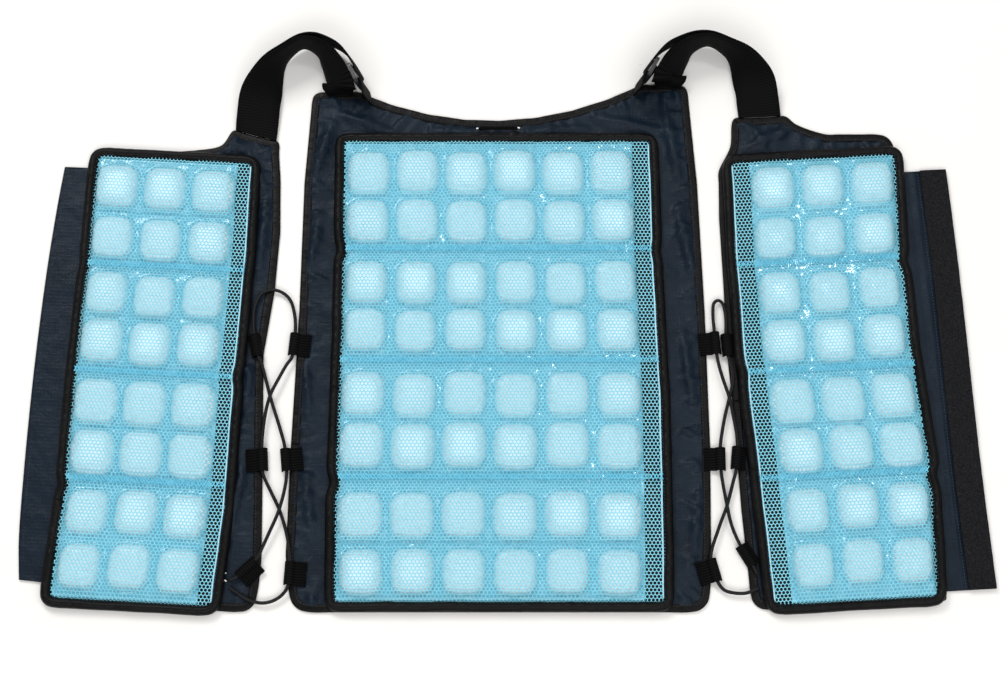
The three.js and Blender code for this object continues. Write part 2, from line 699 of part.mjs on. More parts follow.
// Fly on the right front with the hook strip along its outer edge
const flyRoot = rightShellRows[1].out * rightPlan.halfWidth + gap;
const flyOuter = rightPlan.halfWidth + fly.reach;
const flyTop = fly.length / 2 + fly.shift;
const flyBottom = flyTop - fly.length;
const rectangle = (x0, x1, y0, y1, r) => outlineAt([
  { x: x0, y: y0 }, { x: x1, y: y0, r }, { x: x1, y: y1, r }, { x: x0, y: y1 },
]);
const flyOutline = rectangle(flyRoot, flyOuter, flyBottom, flyTop, hem.thickness);
const hookOutline = rectangle(flyOuter - hook.width, flyOuter, flyBottom, flyTop, hem.thickness);
addPiece(rightGroup, 'closure_fly', clothPlate(flyOutline, 0, shellThickness), material.shell);
addPiece(
  rightGroup, 'hook_strip', clothPlate(hookOutline, shellThickness + gap, hook.thickness), material.hook,
);

// Shoulder straps: two layers of webbing leave the front shoulder together, stand on edge
// at the top of the loop and part before the back shoulder. Each row is one station:
// share of the way across, share of the arch, height in strap widths, bank in degrees
const innerLayer = [
  { across: 0.00, arch: 0.00, rise: 0.03, bank: 0 },
  { across: 0.02, arch: 0.26, rise: 0.16, bank: 8 },
  { across: 0.05, arch: 0.55, rise: 0.27, bank: 20 },
  { across: 0.14, arch: 0.80, rise: 0.44, bank: 56 },
  { across: 0.23, arch: 0.94, rise: 0.54, bank: 76 },
  { across: 0.34, arch: 1.01, rise: 0.58, bank: 90 },
  { across: 0.53, arch: 1.05, rise: 0.60, bank: 96 },
  { across: 0.710, arch: 0.84, rise: 0.60, bank: 86 },
  { across: 0.820, arch: 0.60, rise: 0.58, bank: 72 },
  { across: 0.910, arch: 0.33, rise: 0.54, bank: 62 },
  { across: 0.955, arch: 0.14, rise: 0.50, bank: 55 },
  { across: 0.970, arch: 0.00, rise: 0.48, bank: 50 },
];
// The outer layer keeps to the inner one up to this row, then runs on its own to the buckle
// and over the corner of the neckline
const partingRow = 6;
const outerBranch = [
  { across: 0.72, arch: 0.96, rise: 0.64, bank: 97 },
  { across: 0.91, arch: 0.72, rise: 0.67, bank: 100 },
  { across: 1.05, arch: 0.45, rise: 0.71, bank: 100 },
];
const buckleRun = [
  { across: 1.13, arch: 0.15, rise: 0.72 },
  { across: 1.28, arch: -0.45, rise: 0.72 },
];
const outerFoot = { across: 1.31, arch: -0.55, rise: 0.66 };
const buckleBank = 100;
const barClearance = 0.5;
const shoulderClearance = 1.0;
const footShare = 1.1;

// Ribbon through stations: each has a centre, a direction across its width and a normal
function ribbonBody(stations, width, thickness) {
  const points = [];
  const triangles = [];
  for (const { centre, across, normal } of stations) {
    for (const [u, v] of [[-1, -1], [1, -1], [1, 1], [-1, 1]]) {
      const edge = centre.clone().addScaledVector(across, (u * width) / 2);
      points.push(edge.addScaledVector(normal, (v * thickness) / 2));
    }
  }
  for (let k = 0; k < stations.length - 1; k += 1) {
    // Both broad sides are cut along the same diagonal, so that a twist keeps its thickness
    for (let side = 0; side < 4; side += 1) {
      const over = (side + 1) % 4;
      const [a, b] = [k * 4 + side, k * 4 + over];
      if (side === 2) triangles.push([a, b, a + 4], [b, b + 4, a + 4]);
      else triangles.push([a, b, b + 4], [a, b + 4, a + 4]);
    }
  }
  const end = (stations.length - 1) * 4;
  triangles.push([0, 2, 1], [0, 3, 2], [end, end + 1, end + 2], [end, end + 2, end + 3]);
  return closedBody(points, triangles);
}

// Direction across the webbing for a run and a bank; side is the direction of the loop's
// outer edge as the webbing leaves the front shoulder
function bankedFrame(run, bankDegrees, side) {
  const bank = THREE.MathUtils.degToRad(bankDegrees);
  const level = new THREE.Vector3(-run.y * side, run.x * side, 0).normalize();
  const across = level.multiplyScalar(Math.cos(bank)).add(new THREE.Vector3(0, 0, Math.sin(bank)));
  across.addScaledVector(run, -across.dot(run)).normalize();
  const normal = new THREE.Vector3().crossVectors(run, across).multiplyScalar(side).normalize();
  return { across, normal };
}

// Stations along a row of centres, each banked as its row says
function bankedStations(centres, banks, side) {
  return centres.map((centre, k) => {
    const before = centres[Math.max(0, k - 1)];
    const after = centres[Math.min(centres.length - 1, k + 1)];
    const run = after.clone().sub(before).normalize();
    return { centre, run, ...bankedFrame(run, banks[k], side) };
  });
}

// Slide buckle: a flat frame with two slots either side of a centre bar. The slots are a
// little narrower at the centre bar, and one far corner is a hair short of square
const slotTaper = { sides: 0.7, corner: 0.07 };
function buckleBody() {
  const [halfWidth, halfLength] = [buckle.width / 2, buckle.length / 2];
  const frame = new THREE.Shape(outlineAt([
    { x: -halfWidth, y: -halfLength, r: buckle.bar },
    { x: halfWidth, y: -halfLength, r: buckle.bar },
    { x: halfWidth, y: halfLength, r: buckle.bar },
    { x: -halfWidth, y: halfLength, r: buckle.bar },
  ]));
  const reach = halfWidth - buckle.sideBar;
  const near = buckle.bar / 2;
  const far = halfLength - buckle.bar;
  for (const side of [-1, 1]) {
    frame.holes.push(new THREE.Path([
      [-reach + slotTaper.sides, near], [reach - slotTaper.sides, near],
      [reach, far], [-reach, far - slotTaper.corner],
    ].map(([x, y]) => new THREE.Vector2(x, side * y))));
  }
  const geometry = new THREE.ExtrudeGeometry(frame, {
    depth: buckle.thickness, bevelEnabled: false, steps: 1,
  });
  return geometry.translate(0, 0, -buckle.thickness / 2);
}

function addStrap(name, foot, to, side) {
  const from = foot.centre;
  const lowest = strap.thickness * 1.5 + 2 * gap;
  const station = (row) => new THREE.Vector3(
    mix(from.x, to.x, row.across),
    mix(from.y, to.y, row.across) + row.arch * strap.arch[name],
    Math.max(row.rise * strap.width, lowest),
  );
  const inner = bankedStations(innerLayer.map(station), innerLayer.map((row) => row.bank), side);
  inner[0].across = foot.across.clone();
  addPiece(vest, `${name}_strap_inner`, ribbonBody(inner, strap.width, strap.thickness), material.webbing);

  const layerGap = strap.thickness + gap;
  const shared = inner.slice(0, partingRow + 1).map((place) => ({
    ...place, centre: place.centre.clone().addScaledVector(place.normal, -layerGap),
  }));
  const [start, end] = buckleRun.map(station);
  const branch = [shared[partingRow].centre, ...outerBranch.map(station), start];
  const branchBanks = [innerLayer[partingRow].bank, ...outerBranch.map((row) => row.bank), buckleBank];
  const bowed = bankedStations(branch, branchBanks, side).slice(1, -1);

  // The stretch through the buckle is straight, woven through its two slots
  const run = end.clone().sub(start).normalize();
  const straight = bankedFrame(run, buckleBank, side);
  const middle = start.clone().lerp(end, 0.5);
  const weave = buckle.thickness / 2 + strap.thickness / 2 + gap;
  const centreBar = buckle.bar / 2 + barClearance;
  const endBar = buckle.length / 2 - buckle.bar - barClearance;
  const outside = buckle.length / 2 + barClearance;
  const woven = [
    { at: -outside, lift: -weave },
    { at: -endBar, lift: -weave },
    { at: -centreBar, lift: weave },
    { at: centreBar, lift: weave },
    { at: endBar, lift: -weave },
    { at: outside, lift: -weave },
  ].map(({ at, lift }) => ({
    centre: middle.clone().addScaledVector(run, at).addScaledVector(straight.normal, lift),
    ...straight,
  }));
  const outer = [...shared, ...bowed, ...woven, { centre: station(outerFoot), ...straight }];
  addPiece(vest, `${name}_strap_outer`, ribbonBody(outer, strap.width, strap.thickness), material.webbing);

  const frame = addPiece(vest, `${name}_slide_buckle`, buckleBody(), material.buckle);
  frame.position.copy(middle);
  const along = new THREE.Vector3().crossVectors(straight.normal, straight.across);
  const basis = new THREE.Matrix4().makeBasis(straight.across, along, straight.normal);
  frame.quaternion.setFromRotationMatrix(basis);
}

// Strap ends: the front shoulder's two marked corners, and the back shoulder's top edge
function strapFoot(rows, plan, panel, side) {
  const [a, b] = shellCorners(rows, plan, 0)
    .filter((_, k) => rows[k].strap)
    .map((p) => onSurface(panel, p.x, p.y));
  const across = b.clone().sub(a).normalize();
  if (across.x * side > 0) across.negate();
  const outward = new THREE.Vector3(across.y * side, -across.x * side, 0);
  return { centre: a.add(b).multiplyScalar(0.5).addScaledVector(outward, footShare * gap), across };
}
const shoulderEnd = (side, shoulder, out) => new THREE.Vector3(
  (side * out * back.width) / 2, (shoulder.up - 0.5) * back.length + shoulderClearance, 0,
);
const strapEnds = { left: 0.785, right: 0.825 };
addStrap(
  'left', strapFoot(leftShellRows, leftPlan, leftPanel, 1),
  shoulderEnd(-1, backShoulder.left, strapEnds.left), 1,
);
addStrap(
  'right', strapFoot(rightShellRows, rightPlan, rightPanel, -1),
  shoulderEnd(1, backShoulder.right, strapEnds.right), -1,
);

const laceSides = 8;
const laceStepsEach = 40;

function addLace(name, route) {
  const points = route.map(([x, y, z]) => new THREE.Vector3(x, y, z));
  const path = new THREE.CatmullRomCurve3(points, false, 'centripetal');
  const section = new THREE.Shape(Array.from({ length: laceSides }, (_, k) => {
    const angle = (k + 0.5) * 2 * Math.PI / laceSides;
    return new THREE.Vector2(Math.cos(angle), Math.sin(angle)).multiplyScalar(cordDiameter / 2);
  }));
  const tube = new THREE.ExtrudeGeometry(section, {
    extrudePath: path, steps: laceStepsEach, bevelEnabled: false,
  });
  addPiece(vest, name, tube, material.cord);
}
addLace('left_lace', lace.left);
addLace('right_lace', lace.right);

// Keeper: a webbing tunnel over the cord with a flat tab, which is sewn down beside it. The
// slot's floor is a hair above the tab, and its lip a little thinner
const tunnel = { floorLift: 0.06, lipDrop: 0.24, tabEdge: 0.1 };
function keeperBody(sewnShare) {
  const slotTop = keeper.web + keeper.slotHeight;
  const top = slotTop + keeper.web;
  const half = keeper.slotWidth / 2;
  const tabEnd = half + keeper.sewn * sewnShare;
  const shoulder = Math.min(half + 2 * keeper.web, tabEnd - tunnel.tabEdge);
  const outer = new THREE.Shape([
    [-keeper.lip, 0], [tabEnd, 0], [tabEnd, keeper.web], [shoulder, keeper.web], [half, top],
    [-half, top], [-keeper.lip, keeper.web - tunnel.lipDrop],
  ].map(([x, y]) => new THREE.Vector2(x, y)));
  const slotFloor = keeper.web + tunnel.floorLift;
  outer.holes.push(new THREE.Path([
    [-half, slotFloor], [half, slotFloor], [half - keeper.web, slotTop], [-half + keeper.web, slotTop],
  ].map(([x, y]) => new THREE.Vector2(x, y))));
  const geometry = new THREE.ExtrudeGeometry(outer, {
    depth: keeper.length, bevelEnabled: false, steps: 1,
  });
  return geometry.translate(0, 0, -keeper.length / 2).rotateX(Math.PI / 2);
}

for (const spec of keepers) {
  const [ax, ay] = lace[spec.route][spec.at];
  const [bx, by] = lace[spec.route][spec.at + 1];
  const tab = addPiece(vest, `keeper_${spec.name}`, keeperBody(spec.sewn), material.webbing);
  const upwards = by > ay ? 1 : -1;
  const direction = Math.atan2((by - ay) * upwards, (bx - ax) * upwards) - Math.PI / 2;
  tab.position.set((ax + bx) / 2, (ay + by) / 2, keeperFloor);
  tab.rotation.z = direction + (spec.inward > 0 ? 0 : Math.PI);
}

// The origin stands under the middle of the vest's outer box
vest.updateMatrixWorld(true);
const span = new THREE.Box3().setFromObject(vest, true);
const whole = new THREE.Group();
vest.position.set(-(span.min.x + span.max.x) / 2, -(span.min.y + span.max.y) / 2, 0);
whole.add(vest);

export default whole;
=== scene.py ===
"""A cooling vest laid open on a pale table, inside face up: navy ripstop panels, net pouches
over cold packs of gel cells, webbing shoulder straps and elastic side lacing."""

import math
from types import SimpleNamespace as Sizes

import bpy
import bmesh
import numpy as np
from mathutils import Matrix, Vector, noise
from mathutils.geometry import delaunay_2d_cdt


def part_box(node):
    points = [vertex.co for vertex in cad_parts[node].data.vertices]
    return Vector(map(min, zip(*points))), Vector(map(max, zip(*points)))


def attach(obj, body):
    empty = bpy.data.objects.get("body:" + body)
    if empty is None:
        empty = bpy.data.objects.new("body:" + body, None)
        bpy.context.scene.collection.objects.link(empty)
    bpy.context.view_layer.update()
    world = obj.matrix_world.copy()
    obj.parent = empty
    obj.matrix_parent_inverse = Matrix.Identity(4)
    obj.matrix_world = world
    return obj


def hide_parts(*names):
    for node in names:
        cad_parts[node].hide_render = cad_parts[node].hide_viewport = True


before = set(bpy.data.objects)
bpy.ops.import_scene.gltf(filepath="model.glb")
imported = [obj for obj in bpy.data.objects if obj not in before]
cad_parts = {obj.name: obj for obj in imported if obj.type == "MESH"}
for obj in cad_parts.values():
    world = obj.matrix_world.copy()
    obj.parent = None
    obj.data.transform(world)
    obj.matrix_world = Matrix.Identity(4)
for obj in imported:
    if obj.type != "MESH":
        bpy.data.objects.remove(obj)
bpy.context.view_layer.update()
MM = 0.001
UP = np.array([0.0, 0.0, 1.0])
rng = np.random.default_rng(7)

# The middle of the back panel on the surface, worked out from the back hem
BACK = Sizes(half_width=182.0, widest=1.005, length=478.0)
HEM_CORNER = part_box("back_hem")[0]
ORIGIN = np.array([
    HEM_CORNER.x + BACK.widest * BACK.half_width * MM,
    HEM_CORNER.y + BACK.length / 2 * MM,
    0.0,
])

# Camera: steeply down on the vest from its bottom edge, aimed at the middle of the back panel
CAMERA = Sizes(elevation=76.0, distance=1.584, lens=64.8, sensor=36.0)


def add_camera():
    data = bpy.data.cameras.new("camera")
    data.lens = CAMERA.lens
    data.sensor_width = CAMERA.sensor
    camera = bpy.data.objects.new("camera", data)
    rise = math.radians(CAMERA.elevation)
    back = Vector((0, -math.cos(rise), math.sin(rise)))
    camera.location = Vector(ORIGIN) + back * CAMERA.distance
    camera.rotation_euler = (math.pi / 2 - rise, 0, 0)
    bpy.context.scene.collection.objects.link(camera)
    bpy.context.scene.camera = camera


add_camera()

# Materials

BAND_SCALE = 0.31416  # scale of a wave texture whose bands are one unit apart


class Look:
    """A Principled material, with short ways to add textures to it."""

    def __init__(self, name, roughness, specular=0.5, **inputs):
        self.material = bpy.data.materials.new(name)
        self.material.use_nodes = True
        self.tree = self.material.node_tree
        self.shader = self.tree.nodes["Principled BSDF"]
        inputs.update(Roughness=roughness, Specular_IOR_Level=specular)
        for key, value in inputs.items():
            self.shader.inputs[key.replace("_", " ")].default_value = value
        self.height = None

    def node(self, kind, settings=None, **values):
        made = self.tree.nodes.new("ShaderNode" + kind)
        for key, value in (settings or {}).items():
            setattr(made, key, value)
        for key, value in values.items():
            made.inputs[key.replace("_", " ")].default_value = value
        return made

    def link(self, source, target):
        self.tree.links.new(source, target)

    def coordinates(self, kind, scale=(1, 1, 1)):
        place = self.node("TexCoord")
        mapping = self.node("Mapping", Scale=scale)
        self.link(place.outputs[kind], mapping.inputs["Vector"])
        return mapping.outputs["Vector"]

    def noise(self, size, detail=3.0, roughness=0.55, kind="Object", stretch=(1, 1, 1), distortion=0.0):
        made = self.node(
            "TexNoise", Scale=1 / size, Detail=detail, Roughness=roughness, Distortion=distortion,
        )
        self.link(self.coordinates(kind, stretch), made.inputs["Vector"])
        return made.outputs["Fac"]

    def bands(self, period, direction, distortion=0.0):
        """Even bands over the piece's flat plan: 0 to 1 and back in each period."""
        made = self.node(
            "TexWave", {"wave_type": "BANDS", "bands_direction": direction},
            Scale=BAND_SCALE / period, Distortion=distortion, Detail=1.0,
        )
        self.link(self.coordinates("UV"), made.inputs["Vector"])
        return made.outputs["Fac"]

    def math(self, operation, a, b):
        made = self.node("Math", {"operation": operation})
        for socket, value in zip(made.inputs, (a, b)):
            if isinstance(value, (int, float)):
                socket.default_value = value
            else:
                self.link(value, socket)
        return made.outputs[0]

    def color(self, value, *stops):
        """Base colour from a value, through stops of (place, colour)."""
        made = self.node("ValToRGB")
        line = made.color_ramp
        while len(line.elements) < len(stops):
            line.elements.new(0.5)
        for element, (place, shade) in zip(line.elements, stops):
            element.position = place
            element.color = (*shade, 1)
        self.link(value, made.inputs["Fac"])
        self.link(made.outputs["Color"], self.shader.inputs["Base Color"])

    def vary(self, socket, value, low, high):
        made = self.node("MapRange", To_Min=low, To_Max=high)
        self.link(value, made.inputs["Value"])
        self.link(made.outputs["Result"], self.shader.inputs[socket])

    def bump(self, value, depth, strength=1.0):
        made = self.node("Bump", Strength=strength, Distance=depth)
        self.link(value, made.inputs["Height"])
        if self.height:
            self.link(self.height, made.inputs["Normal"])
        self.height = made.outputs["Normal"]
        self.link(self.height, self.shader.inputs["Normal"])


def mottled(name, low, high, size, grain, *finish, detail=2, **inputs):
    """A look between two colours in patches of one size, with a grain of (size, depth, strength)."""
    look = Look(name, *finish, **inputs)
    look.color(look.noise(size, detail), (0.3, low), (0.7, high))
    grain_size, depth, strength = grain
    look.bump(look.noise(grain_size, 2), depth, strength)
    return look.material


def thread(name, color, roughness):
    low = tuple(0.85 * c for c in color)
    return mottled(name, low, color, 0.004, (0.0006, 0.00008, 0.4), roughness)


def ripstop():
    look = Look("navy_ripstop", 0.46, 0.13)
    look.color(look.noise(0.03, 4), (0.25, (0.0024, 0.0064, 0.0128)), (0.75, (0.0060, 0.0134, 0.0240)))
    check, yarn = 0.0032, 0.0007
    grid = look.math("MAXIMUM", look.bands(check, "X"), look.bands(check, "Y"))
    look.bump(look.math("POWER", grid, 8.0), 0.00012, 0.6)
    weave = look.math("ADD", look.bands(yarn, "X"), look.bands(yarn, "Y"))
    look.bump(weave, 0.00004, 0.35)
    look.bump(look.noise(0.014, 4, 0.6, distortion=0.6), 0.0018, 0.7)
    look.vary("Roughness", look.noise(0.02, 3), 0.34, 0.5)
    return look.material


def satin(name, low, high):
    look = Look(name, 0.32, 0.1)
    look.color(look.noise(0.02, 3), (0.3, low), (0.7, high))
    look.bump(look.bands(0.0011, "X"), 0.00006, 0.6)
    look.bump(look.noise(0.009, 4, 0.6, kind="UV", stretch=(1.0, 0.25, 1)), 0.0013, 0.8)
    look.vary("Roughness", look.noise(0.006, 3), 0.28, 0.5)
    return look.material


def webbing():
    rib = 0.0023
    look = Look("black_webbing", 0.7, 0.05)
    look.color(
        look.bands(rib, "X", 0.4), (0.1, (0.0010, 0.0010, 0.0011)), (0.9, (0.0048, 0.0048, 0.0050)),
    )
    look.bump(look.bands(rib, "X", 0.3), 0.0003, 0.6)
    look.bump(look.bands(0.0008, "Y"), 0.0001, 0.5)
    return look.material


def braid():
    look = Look("black_braid", 0.5, 0.2)
    cross = look.math("MULTIPLY", look.bands(0.0016, "DIAGONAL"), look.bands(0.0011, "Y"))
    look.color(cross, (0.1, (0.0025, 0.0025, 0.003)), (0.8, (0.012, 0.012, 0.014)))
    look.bump(cross, 0.0003, 0.8)
    return look.material


def gel_film():
    """Film that is deep and glossy in the valleys, pale and duller over the filled cells."""
    valley, crown = 0.0055, 0.0125
    look = Look("gel_film", 0.34, 0.35, Coat_Weight=0.5, Coat_Roughness=0.08)
    rise = look.node("SeparateXYZ")
    look.link(look.coordinates("Object"), rise.inputs["Vector"])
    share = look.node("MapRange", From_Min=valley, From_Max=crown)
    look.link(rise.outputs["Z"], share.inputs["Value"])
    mixed = look.math("ADD", share.outputs["Result"], look.math("MULTIPLY", look.noise(0.02, 3), 0.12))
    look.color(
        mixed, (0.05, (0.14, 0.46, 0.60)), (0.40, (0.32, 0.61, 0.72)), (0.85, (0.57, 0.72, 0.77)),
    )
    look.bump(look.noise(0.011, 4, 0.55, distortion=1.2), 0.0020, 0.55)
    look.bump(look.noise(0.003, 2), 0.0003, 0.4)
    look.vary("Coat Weight", share.outputs["Result"], 1.0, 0.12)
    look.vary("Roughness", look.noise(0.015, 3), 0.26, 0.42)
    return look.material


def hook_tape():
    hooks = 0.0011
    look = Look("hook_tape", 0.9, 0.15)
    look.color(look.noise(hooks, 3, 0.7), (0.40, (0.0025, 0.0025, 0.003)), (0.75, (0.026, 0.026, 0.029)))
    look.bump(look.noise(hooks, 3, 0.75), 0.0012, 1.0)
    return look.material


LOOKS = {
    "shell": ripstop(),
    "binding": satin("black_satin", (0.0022, 0.0021, 0.0021), (0.0055, 0.0050, 0.0050)),
    "webbing": webbing(),
    "cord": braid(),
    "gel": gel_film(),
    "net": mottled(
        "net_thread", (0.17, 0.56, 0.70), (0.25, 0.66, 0.78), 0.004, (0.0009, 0.0002, 0.6), 0.42, 0.45,
        Sheen_Weight=0.2,
    ),
    "seam": mottled(
        "blue_thread", (0.11, 0.55, 0.76), (0.20, 0.68, 0.86), 0.003, (0.0006, 0.0002, 0.6), 0.5,
    ),
    "edge": mottled(
        "pale_edge", (0.25, 0.55, 0.68), (0.42, 0.70, 0.80), 0.003, (0.0008, 0.0002, 0.6), 0.5,
    ),
    "hook": hook_tape(),
    "backing": mottled(
        "black_cloth", (0.0025, 0.0028, 0.003), (0.008, 0.0085, 0.010), 0.01, (0.001, 0.0002, 0.5),
        0.85, 0.25, detail=3,
    ),
    "buckle": mottled(
        "black_plastic", (0.007, 0.007, 0.008), (0.014, 0.014, 0.015), 0.01, (0.0007, 0.00005, 0.4), 0.3,
    ),
    "stitch": thread("dark_thread", (0.022, 0.022, 0.024), 0.5),
    "navy_stitch": thread("navy_thread", (0.03, 0.045, 0.075), 0.5),
    "white": thread("white_thread", (0.75, 0.74, 0.70), 0.6),
}


def dress(node, look):
    """A detailed material for a CAD node that stays in sight."""
    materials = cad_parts[node].data.materials
    materials.clear()
    materials.append(LOOKS[look])


# Meshes


def lerp(a, b, t):
    return a + (b - a) * t


def ease(t):
    t = np.clip(t, 0.0, 1.0)
    return t * t * (3 - 2 * t)


def distances(line):
    """How far along the line each of its points is."""
    return np.concatenate([[0], np.cumsum(np.linalg.norm(np.diff(line, axis=0), axis=1))])


def unit_rows(rows):
    return rows / np.linalg.norm(rows, axis=1)[:, None]


def turned(v, angle):
    """A flat vector turned by an angle in radians."""
    c, s = math.cos(angle), math.sin(angle)
    return np.array([c * v[0] - s * v[1], s * v[0] + c * v[1]])


def add_mesh(name, points, faces, look, uv=None, replaces=(), outward=True):
    """A shown piece from points in millimetres, measured from the middle of the back panel."""
    data = bpy.data.meshes.new(name)
    places = np.asarray(points, float) * MM + ORIGIN
    data.from_pydata(places.tolist(), [], [list(face) for face in faces])
    if uv is not None:
        layer = data.uv_layers.new(name="UVMap")
        corners = np.empty(len(data.loops), int)
        data.loops.foreach_get("vertex_index", corners)
        layer.data.foreach_set("uv", (np.asarray(uv, float)[corners] * MM).ravel())
    if outward:
        work = bmesh.new()
        work.from_mesh(data)
        bmesh.ops.recalc_face_normals(work, faces=work.faces)
        work.to_mesh(data)
        work.free()
    data.polygons.foreach_set("use_smooth", [True] * len(data.polygons))
    data.materials.append(LOOKS[look])
    piece = bpy.data.objects.new(name, data)
    bpy.context.scene.collection.objects.link(piece)
    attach(piece, "root")
    if replaces:
        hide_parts(*replaces)
    return piece


def smooth_line(points, step, closed):
    """Centripetal Catmull-Rom line through the points, with points at an even step."""
    given = np.asarray(points, float)
    if closed:
        knots = np.vstack([given[-1], given, given[0], given[1]])
    else:
        knots = np.vstack([2 * given[0] - given[1], given, 2 * given[-1] - given[-2]])
    dense = []
    for k in range(1, len(knots) - 2):
        a, b, c, d = knots[k - 1:k + 3]
        t1 = np.linalg.norm(b - a) ** 0.5
        t2 = t1 + np.linalg.norm(c - b) ** 0.5
        t3 = t2 + np.linalg.norm(d - c) ** 0.5
        count = max(3, int(np.linalg.norm(c - b) / step * 3))
        t = np.linspace(t1, t2, count, endpoint=False)[:, None]

        def mix(p, q, low, high):
            return (high - t) / (high - low) * p + (t - low) / (high - low) * q

        ab, bc, cd = mix(a, b, 0, t1), mix(b, c, t1, t2), mix(c, d, t2, t3)
        dense.append(mix(mix(ab, bc, 0, t2), mix(bc, cd, t1, t3), t1, t2))
    line = np.vstack([*dense, given[0] if closed else given[-1]])
    along = distances(line)
    count = max(3, int(round(along[-1] / step)))
    at = np.linspace(0, along[-1], count if closed else count + 1, endpoint=not closed)
    return np.column_stack([np.interp(at, along, line[:, k]) for k in range(line.shape[1])])


def left_normals(line):
    """Unit normals to the left of a closed flat line that runs counter-clockwise: inwards."""
    run = unit_rows(np.roll(line, -1, axis=0) - np.roll(line, 1, axis=0))
    return np.column_stack([-run[:, 1], run[:, 0]])


def sweep(name, centres, across, up, sections, closed, look, replaces=()):
    """Piece swept along centres. sections holds, for each centre, points (across, up), and those
    two directions are given for each centre or once for all of them."""
    centres, sections = np.asarray(centres, float), np.asarray(sections, float)
    across, up = (np.broadcast_to(a, centres.shape) for a in (across, up))
    count, sides = sections.shape[:2]
    points = (
        centres[:, None, :]
        + sections[:, :, :1] * across[:, None, :]
        + sections[:, :, 1:] * up[:, None, :]
    ).reshape(-1, 3)
    uv = np.column_stack([np.repeat(distances(centres), sides), np.tile(distances(sections[0]), count)])
    faces = []
    for k in range(count if closed else count - 1):
        here, there = k * sides, ((k + 1) % count) * sides
        for side in range(sides):
            over = (side + 1) % sides
            faces.append((here + side, here + over, there + over, there + side))
    if not closed:
        faces.append(tuple(range(sides)))
        faces.append(tuple(range((count - 1) * sides, count * sides)))
    return add_mesh(name, points, faces, look, uv, replaces)


def tube(name, line, radius, look, sides=6, closed=False, replaces=()):
    """Round piece along a line of points."""
    line = np.asarray(line, float)
    run = unit_rows(np.gradient(line, axis=0))
    across = unit_rows(np.cross(run, UP))
    up = np.cross(across, run)
    angle = np.arange(sides) / sides * 2 * math.pi
    ring = np.column_stack([np.cos(angle), np.sin(angle)]) * radius
    return sweep(name, line, across, up, np.tile(ring, (len(line), 1, 1)), closed, look, replaces)


NOISE_RANGE = 1.6  # brings the noise to about -1 to 1


def wave(values, size, seed):
    """Smooth noise along a row of distances in millimetres."""
    return np.array([noise.noise(Vector((v / size, seed, seed * 0.7))) for v in values]) * NOISE_RANGE


def field(x, y, size, seed):
    """Smooth noise over flat places in millimetres."""
    return np.array([noise.noise(Vector((a / size, b / size, seed))) for a, b in zip(x, y)]) * NOISE_RANGE


def stitches(name, line, heights, pitch, size, look):
    """A row of small thread stitches along a line: size is (length, width, height)."""
    along = distances(line)
    at = np.arange(pitch, along[-1] - pitch, pitch)
    x, y, z = (np.interp(at, along, values) for values in (line[:, 0], line[:, 1], heights))
    ahead, behind = ([np.interp(at + way, along, line[:, k]) for k in (0, 1)] for way in (0.5, -0.5))
    turn = np.arctan2(ahead[1] - behind[1], ahead[0] - behind[0])
    half, wide, high = size[0] / 2, size[1] / 2, size[2]
    block = np.array([
        [-half, -wide, -high], [-half, wide, -high], [-half * 0.6, 0, high * 0.7],
        [half, -wide, -high], [half, wide, -high], [half * 0.6, 0, high * 0.7],
    ])
    sides = [(0, 1, 2), (3, 5, 4), (0, 2, 5, 3), (1, 4, 5, 2), (0, 3, 4, 1)]
    points, faces = [], []
    for k in range(len(at)):
        start = len(points)
        flat = turned((block[:, 0], block[:, 1]), turn[k])
        points += np.column_stack([x[k] + flat[0], y[k] + flat[1], z[k] + block[:, 2]]).tolist()
        faces += [tuple(start + i for i in side) for side in sides]
    return add_mesh(name, points, faces, look)


# Outlines from the frame


def cad_ring(node, height):
    """Points of a CAD band at one height, in order round the piece, in millimetres."""
    off_level, too_close = 0.06, 0.4
    longest, close = 30.0, 10.0
    places = (np.array([v.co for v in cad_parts[node].data.vertices]) - ORIGIN) / MM
    ring = np.unique(np.round(places[abs(places[:, 2] - height) < off_level][:, :2], 2), axis=0)
    centre = (ring.min(axis=0) + ring.max(axis=0)) / 2
    order = np.argsort(np.arctan2(ring[:, 1] - centre[1], ring[:, 0] - centre[0]))
    ring = ring[order]
    ring = ring[np.linalg.norm(ring - np.roll(ring, 1, axis=0), axis=1) > too_close]
    made = []
    for here, there in zip(ring, np.roll(ring, -1, axis=0)):
        apart = np.linalg.norm(there - here)
        pieces = int(apart / close) if apart > longest else 1
        made += [lerp(here, there, k / pieces) for k in range(pieces)]
    return np.array(made)


LINE_STEP = 2.0  # between the points of a binding's line
HEM = Sizes(width=7.0, thickness=2.6, edge_height=1.3, floor=0.1)
TRIM = Sizes(width=8.5, height=6.4, floor=2.9, edge_share=0.35)
CELL = Sizes(width=38.0, length=41.0, height=9.3, shoulder=6.0)
LEVEL = Sizes(pack=4.2, film=5.3, net=15.6, rim=6.3)

